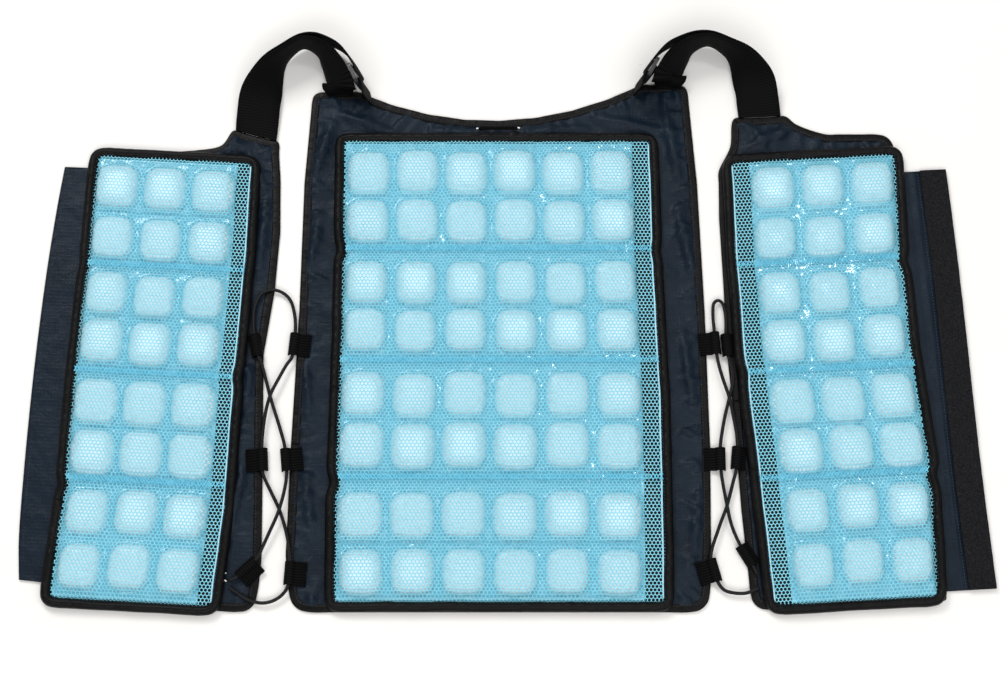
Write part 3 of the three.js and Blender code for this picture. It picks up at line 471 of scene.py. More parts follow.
# Panels: middle and lean of each pouch, the pack's columns and their pitch, the plain net
# strip and its side, then the heights of the cell rows and of the seams above the middle
PANELS = {
    "back": {
        "middle": (0.0, -24.5), "lean": 0.0, "columns": 6, "pitch": 44.0, "strip": 14.5, "side": 1,
        "rows": (-180.9, -132.8, -72.5, -27.5, 30.2, 73.8, 130.6, 176.1), "seams": (-99.3, 4.1, 105.3),
    },
    "left_front": {
        "middle": (-302.0, -33.0), "lean": -3.1, "columns": 3, "pitch": 42.5, "strip": 11.5, "side": 1,
        "rows": (-169.5, -123.0, -71.5, -27.5, 26.5, 69.5, 121.0, 168.6), "seams": (-94.7, 0.5, 97.2),
    },
    "right_front": {
        "middle": (291.0, -32.0), "lean": 3.2, "columns": 3, "pitch": 44.0, "strip": 15.0, "side": -1,
        "rows": (-165.8, -118.8, -67.2, -24.0, 29.5, 73.1, 123.7, 170.9), "seams": (-89.7, 4.4, 101.7),
    },
}

KINK_REACH = 7.0  # along the trim
# Kinks where the seams pull the pouch's trim in: panel, side, height above the middle, depth
KINKS = [
    ("back", -1, 105.0, 2.6), ("back", -1, -104.0, 2.6), ("back", 1, 104.0, 1.6),
    ("left_front", -1, -101.0, 2.4), ("left_front", -1, 97.0, 1.2), ("left_front", 1, 2.0, 1.4),
    ("right_front", 1, 99.0, 2.6), ("right_front", 1, -95.0, 2.6), ("right_front", -1, 4.0, 1.2),
]


def to_panel(panel, points):
    """Places on a panel's own axes, from its pouch's middle."""
    away = np.asarray(points, float)[:, :2] - panel["middle"]
    return turned(away.T, -math.radians(panel["lean"])).T


def from_panel(panel, x, y):
    return turned((x, y), math.radians(panel["lean"])).T + panel["middle"]


def kinked(name, ring):
    """The trim's line with its kinks, and a slight unevenness."""
    panel = PANELS[name]
    flat = to_panel(panel, ring)
    shift = np.zeros(len(flat))
    for owner, side, height, depth in KINKS:
        if owner == name:
            near = np.exp(-((flat[:, 1] - height) / KINK_REACH) ** 2) * (np.sign(flat[:, 0]) == side)
            shift += near * depth
    uneven, size = 0.35, 34.0
    shift += uneven * wave(np.arange(len(flat)) * LINE_STEP, size, seed=len(name))
    flat += left_normals(flat) * shift[:, None]
    return from_panel(panel, flat[:, 0], flat[:, 1])


for name, panel in PANELS.items():
    edge = TRIM.floor + TRIM.height * TRIM.edge_share
    panel["trim_line"] = kinked(name, smooth_line(cad_ring(f"{name}_pouch_trim", edge), LINE_STEP, True))
    panel["hem_line"] = smooth_line(cad_ring(f"{name}_hem", HEM.edge_height), LINE_STEP, True)
    inner = to_panel(panel, panel["trim_line"] + left_normals(panel["trim_line"]) * TRIM.width)
    panel["inner"] = inner
    panel["half_length"] = (inner[:, 1].max() - inner[:, 1].min()) / 2
    pack_width = panel["columns"] * panel["pitch"]
    panel["width"] = pack_width + panel["strip"]
    panel["pack_start"] = 0.0 if panel["side"] > 0 else panel["strip"]
    panel["pack_end"] = panel["pack_start"] + pack_width


def side_lines(panel):
    """The inner edges left and right of a pouch, each as rows of (height, place)."""
    inner = panel["inner"]
    corner = 14.0
    body = inner[abs(inner[:, 1]) < inner[:, 1].max() - corner]
    left, right = body[body[:, 0] < 0], body[body[:, 0] > 0]
    return tuple(part[np.argsort(part[:, 1])] for part in (left, right))


for panel in PANELS.values():
    panel["sides"] = side_lines(panel)


def edges_at(panel, y):
    left, right = panel["sides"]
    return np.interp(y, left[:, 1], left[:, 0]), np.interp(y, right[:, 1], right[:, 0])


def column_of(panel, x, y):
    """Distance across the pouch from its left inner edge, in the pack's own millimetres."""
    left, right = edges_at(panel, y)
    return (x - left) / (right - left) * panel["width"]


def pouch_spots(panel, u, y):
    """Flat places for distances across a pouch from its left inner edge, and heights on it."""
    left, right = edges_at(panel, y)
    return from_panel(panel, left + (right - left) * u / panel["width"], y)


# Packs and nets

CELL_STRAY = Sizes(across=1.2, along=0.9)
# The pillow: how square its plan is, how flat its crown, how round its shoulder, and by what
# shares the cells' plans and heights differ; then the film's puckers and crinkles
PILLOW = Sizes(square=3.4, flat=4.2, round=0.6, plan_share=0.03, height_share=0.05)
FILM = Sizes(pucker=0.45, pucker_width=0.2, crinkle=0.75, crinkle_size=13.0, net_gap=0.45)


def cell_places(panel, u, y):
    """For each place, the nearest cell's middle and a number that is the cell's own."""
    column = np.clip((u - panel["pack_start"]) // panel["pitch"], 0, panel["columns"] - 1)
    rows = np.array(panel["rows"])
    row = np.argmin(abs(y[:, None] - rows[None, :]), axis=1)
    number = column + row * 7.3 + panel["columns"] * 3.1
    shift = np.sin(number * 12.9898) * CELL_STRAY.across
    drop = np.sin(number * 78.233) * CELL_STRAY.along
    return panel["pack_start"] + (column + 0.5) * panel["pitch"] + shift, rows[row] + drop, number


def pack_height(panel, u, y):
    """Height of the pack's upper side: pillow cells in crinkled film."""
    cx, cy, number = cell_places(panel, u, y)
    size = 1 + PILLOW.plan_share * np.sin(number * 37.7)
    a = (u - cx) / (CELL.width / 2 * size)
    b = (y - cy) / (CELL.length / 2 * size)
    r = (abs(a) ** PILLOW.square + abs(b) ** PILLOW.square) ** (1 / PILLOW.square)
    pillow = np.clip(1 - r ** PILLOW.flat, 0, 1) ** PILLOW.round
    foot, puckers = 0.98, 11
    at_foot = np.exp(-((r - foot) / FILM.pucker_width) ** 2)
    pucker = at_foot * np.sin(np.arctan2(b, a) * puckers + number * 5) * FILM.pucker
    crinkle = field(u, y, FILM.crinkle_size, panel["columns"] * 1.7)
    inner, blend = 0.75, 0.35
    film = FILM.crinkle * np.abs(crinkle) * np.clip(r - inner, 0, blend) / blend
    height = CELL.height * (1 + PILLOW.height_share * np.sin(number * 51.1))
    return LEVEL.film + height * pillow + pucker + film


# The net's sag between cells, how much of its fall to the rim it is spared at a seam and at a
# pouch's end, and how high above the rim it is held there
SAG = Sizes(valley=4.6, along=0.9, seam=2.0, end=0.6, seam_hold=2.2, end_hold=1.2)


def net_height(panel, u, y):
    """Height of the net, drawn over the cells and held down at the seams and edges."""
    cx, cy, number = cell_places(panel, u, y)
    flat_x = CELL.width / 2 - CELL.shoulder
    flat_y = CELL.length / 2 - CELL.shoulder
    dx = np.maximum(0, abs(u - cx) - flat_x)
    dy = np.maximum(0, abs(y - cy) - flat_y)
    start, end, half_pitch = panel["pack_start"], panel["pack_end"], panel["pitch"] / 2
    at_side = (u < start + half_pitch) | (u > end - half_pitch)
    outwards = at_side & (np.sign(u - (start + end) / 2) == np.sign(u - cx))
    reach_x = half_pitch - flat_x
    low = LEVEL.net - LEVEL.rim
    drop_x = np.where(outwards, low, SAG.valley) * ease(dx / reach_x)
    stops = np.array([-panel["half_length"], *panel["seams"], panel["half_length"]])
    apart = abs(y[:, None] - stops[None, :])
    to_stop, toward = apart.min(axis=1), stops[apart.argmin(axis=1)]
    seam_side = np.sign(toward - cy) == np.sign(y - cy)
    least_reach, valley_reach = 4.0, 10.0
    reach_y = np.where(seam_side, abs(toward - cy) - flat_y, valley_reach)
    at_seam = abs(toward) < panel["half_length"] - 1
    spared = np.where(at_seam, SAG.seam, SAG.end)
    full_y = np.where(seam_side, low - spared, SAG.valley * SAG.along)
    drop_y = full_y * ease(dy / np.maximum(reach_y, least_reach))
    drape = LEVEL.net - np.sqrt(drop_x ** 2 + drop_y ** 2)
    drape = np.maximum(drape, LEVEL.rim + 0.25 * field(u, y, 20.0, 3.0))
    on_pack = (u > start - 2) & (u < end + 2)
    rest = np.where(on_pack, pack_height(panel, u, y) + FILM.net_gap, 0)
    shown = np.maximum(drape, rest)
    held = LEVEL.rim + np.where(at_seam, SAG.seam_hold, SAG.end_hold)
    held_within = 2.0
    return np.where(to_stop < held_within, np.minimum(shown, held), shown)


def add_pack(name, panel):
    spacing = 2.1
    margin = 1.2
    start, end = panel["pack_start"], panel["pack_end"]
    us = np.linspace(start + margin, end - margin, int((end - start) / spacing))
    reach = panel["half_length"] - margin
    ys = np.linspace(-reach, reach, int(2 * reach / spacing))
    u, y = (grid.ravel() for grid in np.meshgrid(us, ys))
    flat = pouch_spots(panel, u, y)
    count, wide = len(u), len(us)
    faces = [
        (a, a + 1, a + 1 + wide, a + wide)
        for row in range(0, count - wide, wide) for a in range(row, row + wide - 1)
    ]
    rim = [
        *range(wide), *range(2 * wide - 1, count, wide), *range(count - 2, count - wide - 1, -1),
        *range(count - 2 * wide, 0, -wide),
    ]
    for k, here in enumerate(rim):
        over = (k + 1) % len(rim)
        faces.append((here, count + k, count + over, rim[over]))
    faces.append(tuple(range(count, count + len(rim))))
    points = np.vstack([
        np.column_stack([flat, pack_height(panel, u, y)]),
        np.column_stack([flat[rim], np.full(len(rim), LEVEL.pack)]),
    ])
    piece = add_mesh(
        f"{name}_gel_pack", points, faces, "gel", replaces=[f"{name}_cold_pack"],
    )


NET = Sizes(pitch=3.3, hole=0.79, under_trim=1.2, depth=0.35)


def inside(points, outline):
    """Which of the points lie inside a closed outline."""
    x, y = points.T[:, :, None]
    x0, y0 = outline.T[:, None, :]
    x1, y1 = np.roll(outline, -1, axis=0).T[:, None, :]
    crosses = (y0 > y) != (y1 > y)
    rise = np.where(y1 == y0, 1e-9, y1 - y0)
    return (crosses & (x < (x1 - x0) * (y - y0) / rise + x0)).sum(axis=1) % 2 == 1


def staggered(outline, spacing, row_step):
    """Places in staggered rows over the box round an outline."""
    low, high = outline.min(axis=0), outline.max(axis=0)
    x, y = np.meshgrid(np.arange(low[0], high[0], spacing), np.arange(low[1], high[1], row_step))
    x[1::2] += spacing / 2
    return np.column_stack([x.ravel(), y.ravel()])


def add_net(name, panel):
    """Net of hexagonal holes, laid over the pack and cut off under the trim."""
    pitch = NET.pitch
    inner = panel["inner"]
    outline = inner - left_normals(inner) * NET.under_trim
    centres = staggered(outline, pitch, pitch * math.sqrt(3) / 2)
    centres = centres[inside(centres, outline)]
    angle = (np.arange(6) + 0.5) / 6 * 2 * math.pi
    around = np.column_stack([np.cos(angle), np.sin(angle)]) * pitch / math.sqrt(3)
    corners = centres[:, None, :] + around[None, :, :]
    keys = np.round(corners.reshape(-1, 2) / (pitch / 12)).astype(int)
    _, first, index = np.unique(keys, axis=0, return_index=True, return_inverse=True)
    index = index.reshape(-1, 6)
    shared = corners.reshape(-1, 2)[first]
    holes = (centres[:, None, :] + around[None, :, :] * NET.hole).reshape(-1, 2)
    flat = np.vstack([shared, holes])
    u = column_of(panel, flat[:, 0], flat[:, 1])
    z = net_height(panel, u, flat[:, 1])
    z[len(shared):] -= NET.depth
    spots = from_panel(panel, flat[:, 0], flat[:, 1])
    points = np.column_stack([spots, z])
    faces = []
    for k, corner in enumerate(index):
        base = len(shared) + k * 6
        for side in range(6):
            over = (side + 1) % 6
            faces.append((corner[side], corner[over], base + over, base + side))
    piece = add_mesh(
        f"{name}_net", points, faces, "net", replaces=[f"{name}_net_face"], outward=False,
    )


def add_seams(name, panel):
    """Blue zigzag seams across the pouch, and the net's pale edge beside the strip."""
    swing, pitch, thick, above_rim = 2.3, 5.4, 0.6, 3.7
    ends = (0.0, panel["width"])
    count = int((ends[1] - ends[0]) / (pitch / 2))
    u = np.linspace(*ends, count)
    z = np.full(count, LEVEL.rim + above_rim) + 0.3 * np.sin(u / 9.0)
    uneven = 1 + 0.2 * np.sin(np.arange(count) * 2.3)
    for number, seam in enumerate(panel["seams"]):
        for row, way in (("upper", 1), ("lower", -1)):
            zigzag = np.where(np.arange(count) % 2, way, -way) * uneven
            line = np.column_stack([pouch_spots(panel, u, seam + swing * zigzag), z + 0.3 * way])
            tube(f"{name}_seam_{number + 1}_{row}", line, thick, "seam", sides=5)
    margin, inset, thick, places = 3, 0.8, 0.8, 160
    y = np.linspace(-panel["half_length"] + margin, panel["half_length"] - margin, places)
    u = np.full(places, panel["width"] - inset if panel["side"] > 0 else inset)
    z = LEVEL.rim + 0.5 + 0.2 * np.sin(y / 8.0)
    tube(f"{name}_net_edge", np.column_stack([pouch_spots(panel, u, y), z]), thick, "edge", sides=6)


# Panels and their bindings

TRIM_ROLL = [  # section of the pouch's binding roll, as shares inwards and upwards
    (0.03, 0.02), (-0.02, 0.30), (0.05, 0.62), (0.20, 0.88), (0.42, 1.00),
    (0.64, 0.97), (0.84, 0.78), (0.98, 0.50), (1.03, 0.22), (0.98, 0.02),
]
HEM_ROLL = [  # section of the hem's ribbon
    (0.10, 0.02), (0.00, 0.22), (-0.01, 0.60), (0.07, 0.92), (0.22, 1.05),
    (0.60, 1.00), (0.93, 1.02), (1.02, 0.90), (1.02, 0.05),
]


def roll_around(name, line, profile, width, height, floor, replaces, seed):
    """A binding that follows a closed line, with gathers along it."""
    count = len(line)
    along = distances(line)
    gather_size, swell_size = 3.6, 26.0
    gather = 0.09 * wave(along, gather_size, seed)
    swell = 0.07 * wave(along, swell_size, seed + 5)
    sections = [
        [(a * width * (1 + swell[k]), b * height * (1 + swell[k] + gather[k])) for a, b in profile]
        for k in range(count)
    ]
    centres = np.column_stack([line, np.full(count, floor)])
    across = np.column_stack([left_normals(line), np.zeros(count)])
    sweep(name, centres, across, UP, sections, True, "binding", replaces)


def binding_stitches(name, line, inset, height, pitch, size):
    """Stitches all along a closed binding, some way in from its line."""
    seam = line + left_normals(line) * inset
    seam = np.vstack([seam, seam[:1]])
    stitches(name, seam, np.full(len(seam), height), pitch, size, "stitch")


def add_trim(name, panel):
    line = panel["trim_line"]
    roll_around(
        f"{name}_binding_roll", line, TRIM_ROLL, TRIM.width, TRIM.height, TRIM.floor,
        [f"{name}_pouch_trim"], seed=len(name) * 1.3,
    )
    binding_stitches(
        f"{name}_roll_stitches", line, TRIM.width * 0.86, TRIM.floor + TRIM.height * 0.77,
        3.0, (1.7, 0.7, 0.35),
    )


# Routes and places of the lacing

CORD_DIAMETER = 3.0
# Routes of the two laces: x, y, height, from the middle of the back panel. They are the frame's,
# but for a slightly rounder top loop on the right
LACES = {
    "left": [
        (-230.5, -212.5, 5.0), (-223.5, -209.5, 5.8), (-207.5, -194.5, 6.0), (-202.5, -184.5, 6.0),
        (-197.0, -172.0, 7.0), (-189.5, -154.0, 8.0), (-184.8, -134.0, 6.8), (-183.6, -119.5, 6.05),
        (-185.8, -98.0, 6.05), (-190.0, -83.0, 5.4), (-200.0, -53.0, 4.5), (-207.0, -28.0, 5.4),
        (-211.4, -16.5, 6.05), (-215.6, 3.0, 6.05), (-216.6, 15.0, 5.6), (-216.2, 27.0, 5.2),
        (-211.0, 39.5, 4.9), (-203.0, 43.5, 4.7), (-194.0, 42.0, 4.5), (-185.5, 35.0, 4.6),
        (-180.8, 21.0, 5.2), (-179.6, 5.0, 6.05), (-181.6, -17.0, 6.05), (-186.5, -25.0, 6.6),
        (-192.5, -37.0, 7.8), (-199.5, -52.0, 8.0), (-203.5, -69.0, 7.0), (-205.8, -97.5, 6.05),
        (-204.4, -119.5, 6.05), (-202.0, -126.0, 5.6), (-196.5, -137.0, 5.0), (-189.0, -152.5, 4.5),
        (-182.0, -174.0, 5.2), (-178.4, -196.0, 6.05), (-179.6, -216.5, 6.05), (-184.5, -224.5, 5.0),
        (-192.0, -229.5, 4.8), (-201.0, -231.5, 4.8), (-212.5, -229.0, 4.8), (-229.5, -218.5, 4.8),
    ],
    "right": [
        (218.5, -207.5, 5.2), (215.0, -199.5, 6.0), (205.0, -183.0, 6.0), (200.0, -172.0, 6.6),
        (197.0, -163.0, 7.6), (194.5, -150.0, 8.0), (191.5, -130.0, 6.8), (190.3, -118.5, 6.05),
        (190.3, -97.5, 6.05), (192.0, -86.0, 5.4), (195.0, -71.5, 4.8), (199.3, -55.0, 4.5),
        (202.8, -41.0, 4.9), (203.2, -30.0, 5.4), (199.6, -17.0, 6.05), (198.2, 3.5, 6.05),
        (198.6, 15.0, 5.2), (197.9, 25.0, 4.8), (196.0, 31.4, 4.6), (192.3, 34.0, 4.5),
        (188.7, 31.4, 4.6), (187.4, 23.0, 5.2), (188.0, 5.5, 6.05), (189.6, -15.5, 6.05),
        (191.5, -27.0, 6.8), (194.8, -40.0, 7.8), (199.0, -54.0, 8.0), (202.0, -69.5, 7.2),
        (204.4, -84.0, 6.4), (205.4, -97.0, 6.05), (203.4, -117.0, 6.05), (200.5, -128.0, 5.4),
        (194.5, -149.0, 4.5), (187.0, -168.0, 5.2), (179.4, -193.5, 6.05), (184.8, -214.0, 6.05),
        (190.0, -220.5, 5.4), (198.5, -223.0, 4.8), (209.0, -223.0, 4.8), (220.0, -218.5, 4.8),
    ],
}
# Keepers: lace and its first point in the keeper, the side of the sewn tab, its share
KEEPERS = {
    "left_front_bottom": ("left", 1, 1, 0.8), "back_left_middle": ("left", 7, 1, 1.0),
    "left_front_top": ("left", 12, -1, 0.18), "back_left_top": ("left", 21, 1, 1.0),
    "left_front_middle": ("left", 27, -1, 1.0), "back_left_bottom": ("left", 33, 1, 1.0),
    "right_front_bottom": ("right", 1, 1, 0.3), "back_right_middle": ("right", 7, -1, 1.0),
    "right_front_top": ("right", 14, 1, 0.1), "back_right_top": ("right", 22, -1, 1.0),
    "right_front_middle": ("right", 29, 1, 0.35), "back_right_bottom": ("right", 34, -1, 1.0),
}
KEEPER = Sizes(tab=10.0, lip=4.6, length=20.0, web=1.2, inside=3.1, floor=2.9, top=8.9)

# Places where the cloth lies calm: under the laces and under the keepers' tabs, each with the
# distance that is quite calm and the further one over which the folds come back
CALM = {"lace": (6.0, 8.0), "keeper": (15.0, 7.0)}
LACE_PLACES = np.array([point[:2] for route in LACES.values() for point in route])
KEEPER_PLACES = np.array([
    lerp(np.array(LACES[lace][at][:2]), np.array(LACES[lace][at + 1][:2]), 0.5)
    for lace, at, _, _ in KEEPERS.values()
])


def calm_share(x, y):
    """0 under the lacing and 1 well away from it."""
    spots = np.column_stack([x, y])[:, None, :]
    shares = []
    for kind, places in (("lace", LACE_PLACES), ("keeper", KEEPER_PLACES)):
        calm, blend = CALM[kind]
        apart = np.min(np.linalg.norm(spots - places[None, :, :], axis=2), axis=1)
        shares.append(ease((apart - calm) / blend))
    return np.minimum(*shares)


FOLD_SHARES = Sizes(height=2.5, width=0.9)  # of what the rows below say
# Folds drawn on the loose cloth: panel, ends of the crest, width and height
FOLDS = [
    ("back", (-168, 150), (-150, 205), 5.0, 2.2), ("back", (-172, 60), (-160, 112), 4.5, 1.8),
    ("back", (-150, 212), (-90, 188), 5.0, 2.0), ("back", (92, 205), (150, 192), 5.0, 2.2),
    ("back", (160, 150), (150, 212), 5.0, 2.4), ("back", (171, 60), (158, 120), 5.0, 2.0),
    ("back", (168, -60), (160, 10), 4.5, 1.8), ("back", (-166, -70), (-172, -10), 4.0, 1.6),
    ("back", (-60, 193), (-5, 191), 4.0, 1.5), ("back", (20, 191), (78, 196), 4.0, 1.6),
    ("back", (165, -190), (172, -130), 4.5, 1.6), ("back", (-160, -180), (-168, -120), 4.5, 1.5),
    ("left_front", (-214, 60), (-209, 130), 5.0, 2.2), ("left_front", (-222, -60), (-214, 0), 5.0, 2.0),
    ("left_front", (-232, -170), (-220, -110), 5.0, 2.4),
    ("left_front", (-262, 172), (-222, 182), 5.0, 2.0), ("left_front", (-213, 140), (-228, 175), 5.0, 2.0),
    ("right_front", (222, 176), (262, 196), 5.0, 2.0), ("right_front", (280, 168), (340, 172), 4.5, 1.8),
    ("right_front", (208, 100), (206, 150), 4.0, 1.6), ("right_front", (240, 172), (231, 196), 4.5, 1.8),
]


def ridge(x, y, start, end, width, height):
    """A fold whose crest runs from one point to another."""
    start, end = np.asarray(start, float), np.asarray(end, float)
    run = end - start
    t = ((x - start[0]) * run[0] + (y - start[1]) * run[1]) / (run @ run)
    t = np.clip(t, 0, 1)
    d = np.hypot(x - start[0] - t * run[0], y - start[1] - t * run[1])
    at_ends = 0.12
    return height * np.exp(-(d / width) ** 2) * np.sin(math.pi * (at_ends + (1 - 2 * at_ends) * t))


def gathers(line, spacing, reach, seed):
    """Short folds that run inwards from a hem, about every spacing."""
    made = []
    local = np.random.default_rng(seed)
    inwards = left_normals(line)
    step = max(1, int(spacing / LINE_STEP))
    from_edge = 5.0
    for k in range(0, len(line), step):
        k = (k + int(local.integers(0, step))) % len(line)
        way = turned(inwards[k], local.uniform(-0.5, 0.5))
        start = line[k] + inwards[k] * from_edge
        end = start + way * local.uniform(0.6, 1.3) * reach
        made.append((start, end, local.uniform(1.8, 3.4), local.uniform(0.5, 1.9)))
    return made


NOWHERE = np.zeros((0, 2))  # an outline with nothing inside it


def cloth_points(outline, fine, coarse, covered):
    """Places inside an outline: close together where seen, and further apart where covered."""
    row_share = 0.87
    made = []
    for spacing, wanted in ((fine, False), (coarse, True)):
        places = staggered(outline, spacing, spacing * row_share)
        made.append(places[inside(places, covered) == wanted])
    places = np.vstack(made)
    places = places[inside(places, outline)]
    gap_to_edge = np.min(np.linalg.norm(places[:, None, :] - outline[None, ::2, :], axis=2), axis=1)
    return places[gap_to_edge > fine * 0.6]


def add_cloth(name, outline, look, height_at, thickness, panel, replaces, covered=NOWHERE, fine=2.6):
    """Closed cloth piece: height_at gives its upper side; the underside follows it."""
    coarse, least_floor = 11.0, 0.15
    places = cloth_points(outline, fine, coarse, covered)
    count = len(outline)
    flat = [Vector(p) for p in outline] + [Vector(p) for p in places]
    edges = [(k, (k + 1) % count) for k in range(count)]
    verts, _, triangles, _, _, _ = delaunay_2d_cdt(flat, edges, [list(range(count))], 1, 1e-5)
    spots = np.array([(v.x, v.y) for v in verts])
    top = height_at(spots[:, 0], spots[:, 1])
    floor = np.maximum(top - thickness, least_floor)
    size = len(spots)
    points = np.vstack([np.column_stack([spots, top]), np.column_stack([spots, floor])])
    faces = [tuple(t) for t in triangles] + [tuple(k + size for k in reversed(t)) for t in triangles]
    used = dict.fromkeys((t[k], t[(k + 1) % len(t)]) for t in triangles for k in range(len(t)))
    faces += [(b, a, a + size, b + size) for a, b in used if (b, a) not in used]
    uv = np.tile(to_panel(panel, spots), (2, 1))
    piece = add_mesh(name, points, faces, look, uv, replaces)


def add_shell(name, panel):
    line = panel["hem_line"]
    under_hem, under_trim, free_from, free_blend = 2.0, 5.0, 3.0, 6.0
    level, lowest, highest = 1.7, -1.0, 6.2
    outline = (line + left_normals(line) * under_hem)[::2]
    cover = panel["trim_line"] + left_normals(panel["trim_line"]) * under_trim
    folds = [fold[1:] for fold in FOLDS if fold[0] == name]
    folds += gathers(line, 15.0, 17.0, seed=len(name))

    def height_at(x, y):
        rise = np.zeros(len(x))
        for start, end, width, height in folds:
            share = ridge(x, y, start, end, FOLD_SHARES.width * width, height)
            rise += FOLD_SHARES.height * share
        rise += 0.8 * field(x, y, 17.0, 1.0) + 0.35 * field(x, y, 6.0, 2.0)
        spots = np.column_stack([x, y])
        edge = np.min(np.linalg.norm(spots[:, None, :] - line[None, ::3, :], axis=2), axis=1)
        free = np.where(inside(spots, cover), 0.0, ease((edge - free_from) / free_blend)) * calm_share(x, y)
        return level + np.clip(rise, lowest, highest) * free

    add_cloth(
        f"{name}_ripstop", outline, "shell", height_at, 1.2, panel, [f"{name}_shell"], cover, fine=3.0,
    )
    roll_around(
        f"{name}_hem_ribbon", line, HEM_ROLL, HEM.width, HEM.thickness, HEM.floor,
        [f"{name}_hem"], seed=len(name) * 2.1,
    )
    binding_stitches(f"{name}_hem_stitches", line, HEM.width * 0.78, 2.85, 2.8, (1.6, 0.6, 0.3))


for name, panel in PANELS.items():
    add_pack(name, panel)
    add_net(name, panel)
    add_seams(name, panel)
    add_trim(name, panel)
    add_shell(name, panel)
    dress(f"{name}_pouch_backing", "backing")

# Closure pieces

# The flap's outer edge on its panel's axes: height above the middle, and place across
FLAP_EDGE = [
    (-184, -97.4), (-150, -101.5), (-90, -104.2), (0, -105.9), (90, -105.0), (150, -102.5), (187, -100.0),
]
FLAP = Sizes(low=-185.5, high=187.5, root=-70.0, seam=4.0, level=2.0)
FLY = Sizes(low=-194.0, high=182.0, root=76.0, outer=120.0, seam=2.2, level=1.9, pleat=6.0)
HOOK = Sizes(width=23.5, level=4.1, rough=0.22)


def bell(distance, width):
    return np.exp(-(distance / width) ** 2)


def closure_outline(panel, outer, inner):
    """Outline on the table from two edges on the panel's axes."""
    local = np.vstack([outer, inner])
    return from_panel(panel, local[:, 0], local[:, 1])


def root_edge(spec):
    """The edge of a closure piece that lies under its panel, from its top down."""
    places = 40
    return np.column_stack([np.full(places, spec.root), np.linspace(spec.high, spec.low, places)])


def closure_stitches(name, panel, x, y, height):
    seam = from_panel(panel, x, y)
    stitches(name, seam, np.full(len(seam), height), 2.8, (1.7, 0.6, 0.3), "navy_stitch")


def add_flap():
    panel = PANELS["left_front"]
    heights, places = zip(*FLAP_EDGE)
    edge = smooth_line(list(zip(places, heights)), 4.0, False)

    def height_at(x, y):
        spot = to_panel(panel, np.column_stack([x, y]))
        inset = spot[:, 0] - np.interp(spot[:, 1], heights, places)
        soft = 0.55 * field(x, y, 22.0, 8.0) + 0.2 * field(x, y, 7.0, 9.0)
        groove, ridge_by_it = -0.5 * bell(inset - FLAP.seam, 0.9), 0.5 * bell(inset - 2.0, 1.6)
        return FLAP.level + soft * ease((inset - 1) / 5) + groove + ridge_by_it

    outline = closure_outline(panel, edge[::-1], root_edge(FLAP)[::-1])
    add_cloth("flap_ripstop", outline, "shell", height_at, 1.6, panel, ["closure_flap"])
    closure_stitches("flap_stitches", panel, edge[:, 0] + FLAP.seam, edge[:, 1], 1.75)


def add_fly():
    panel = PANELS["right_front"]
    height = np.linspace(FLY.low, FLY.high, 100)
    bow = 0.8 * np.sin(height / 60.0)
    outer = np.column_stack([FLY.outer + bow, height])
    pleat = FLY.outer - HOOK.width - FLY.pleat

    def height_at(x, y):
        spot = to_panel(panel, np.column_stack([x, y]))
        inset = spot[:, 0] - pleat
        fold = (1.7 * bell(inset, 2.6) + 0.8 * bell(inset + 8, 2.0)) * (1 + 0.3 * np.sin(spot[:, 1] / 23.0))
        return FLY.level + fold + 0.35 * field(x, y, 18.0, 4.0) * (inset < FLY.pleat)

    outline = closure_outline(panel, outer, root_edge(FLY))
    add_cloth("fly_ripstop", outline, "shell", height_at, 1.5, panel, ["closure_fly"])
    closure_stitches("fly_stitches", panel, outer[:, 0] - HOOK.width - FLY.seam, outer[:, 1], 2.7)

    def hook_height(x, y):
        return HOOK.level + HOOK.rough * rng.standard_normal(len(x)) + 0.2 * field(x, y, 14.0, 6.0)

    inner = outer[::-1] - np.array([HOOK.width, 0.0])
    outline = closure_outline(panel, outer, inner)
    add_cloth("hook_tape", outline, "hook", hook_height, 2.0, panel, ["hook_strip"], fine=1.7)


add_flap()
add_fly()

# Shoulder straps

STRAP = Sizes(width=38.0, thickness=1.8, gap=0.3)
# Stations of the inner layer: share across, share of the arch, height in widths, bank
INNER_LAYER = [
    (0.00, 0.00, 0.03, 0), (0.02, 0.26, 0.16, 8), (0.05, 0.55, 0.27, 20), (0.14, 0.80, 0.44, 56),
    (0.23, 0.94, 0.54, 76), (0.34, 1.01, 0.58, 90), (0.53, 1.05, 0.60, 96), (0.71, 0.84, 0.60, 86),
    (0.82, 0.60, 0.58, 72), (0.91, 0.33, 0.54, 62), (0.955, 0.14, 0.50, 55), (0.97, 0.00, 0.48, 50),
]
PARTING = 6  # the station at which the outer layer leaves the inner one
OUTER_BRANCH = [(0.72, 0.96, 0.64, 97), (0.91, 0.72, 0.67, 100), (1.05, 0.45, 0.71, 100)]
# The straight stretch through the buckle and the end beyond it, at one bank
BUCKLE_RUN = [(1.13, 0.15, 0.72), (1.28, -0.45, 0.72)]
OUTER_FOOT = (1.31, -0.55, 0.66)
# The inner layer's end, gathered in under the back panel's hem: share across, drop, height,
# bank and share of the width
TUCK = [(0.974, 1.6, 10.5, 36, 0.70), (0.978, 3.0, 4.6, 16, 0.58), (0.982, 5.6, 1.2, 2, 0.54)]
BUCKLE = Sizes(length=20.0, bar=3.6, thickness=3.0, clear=0.5, bank=100, bevel=0.7)
STRAPS = {
    "left": {
        "side": 1, "arch": 56.0, "foot": (-220.5, 188.7), "across": (-0.963, 0.268), "to": (-142.9, 231.9),
    },
    "right": {
        "side": -1, "arch": 47.0, "foot": (235.3, 206.7), "across": (0.998, 0.056), "to": (150.2, 239.0),
    },
}


def unit(v):
    return v / np.linalg.norm(v)


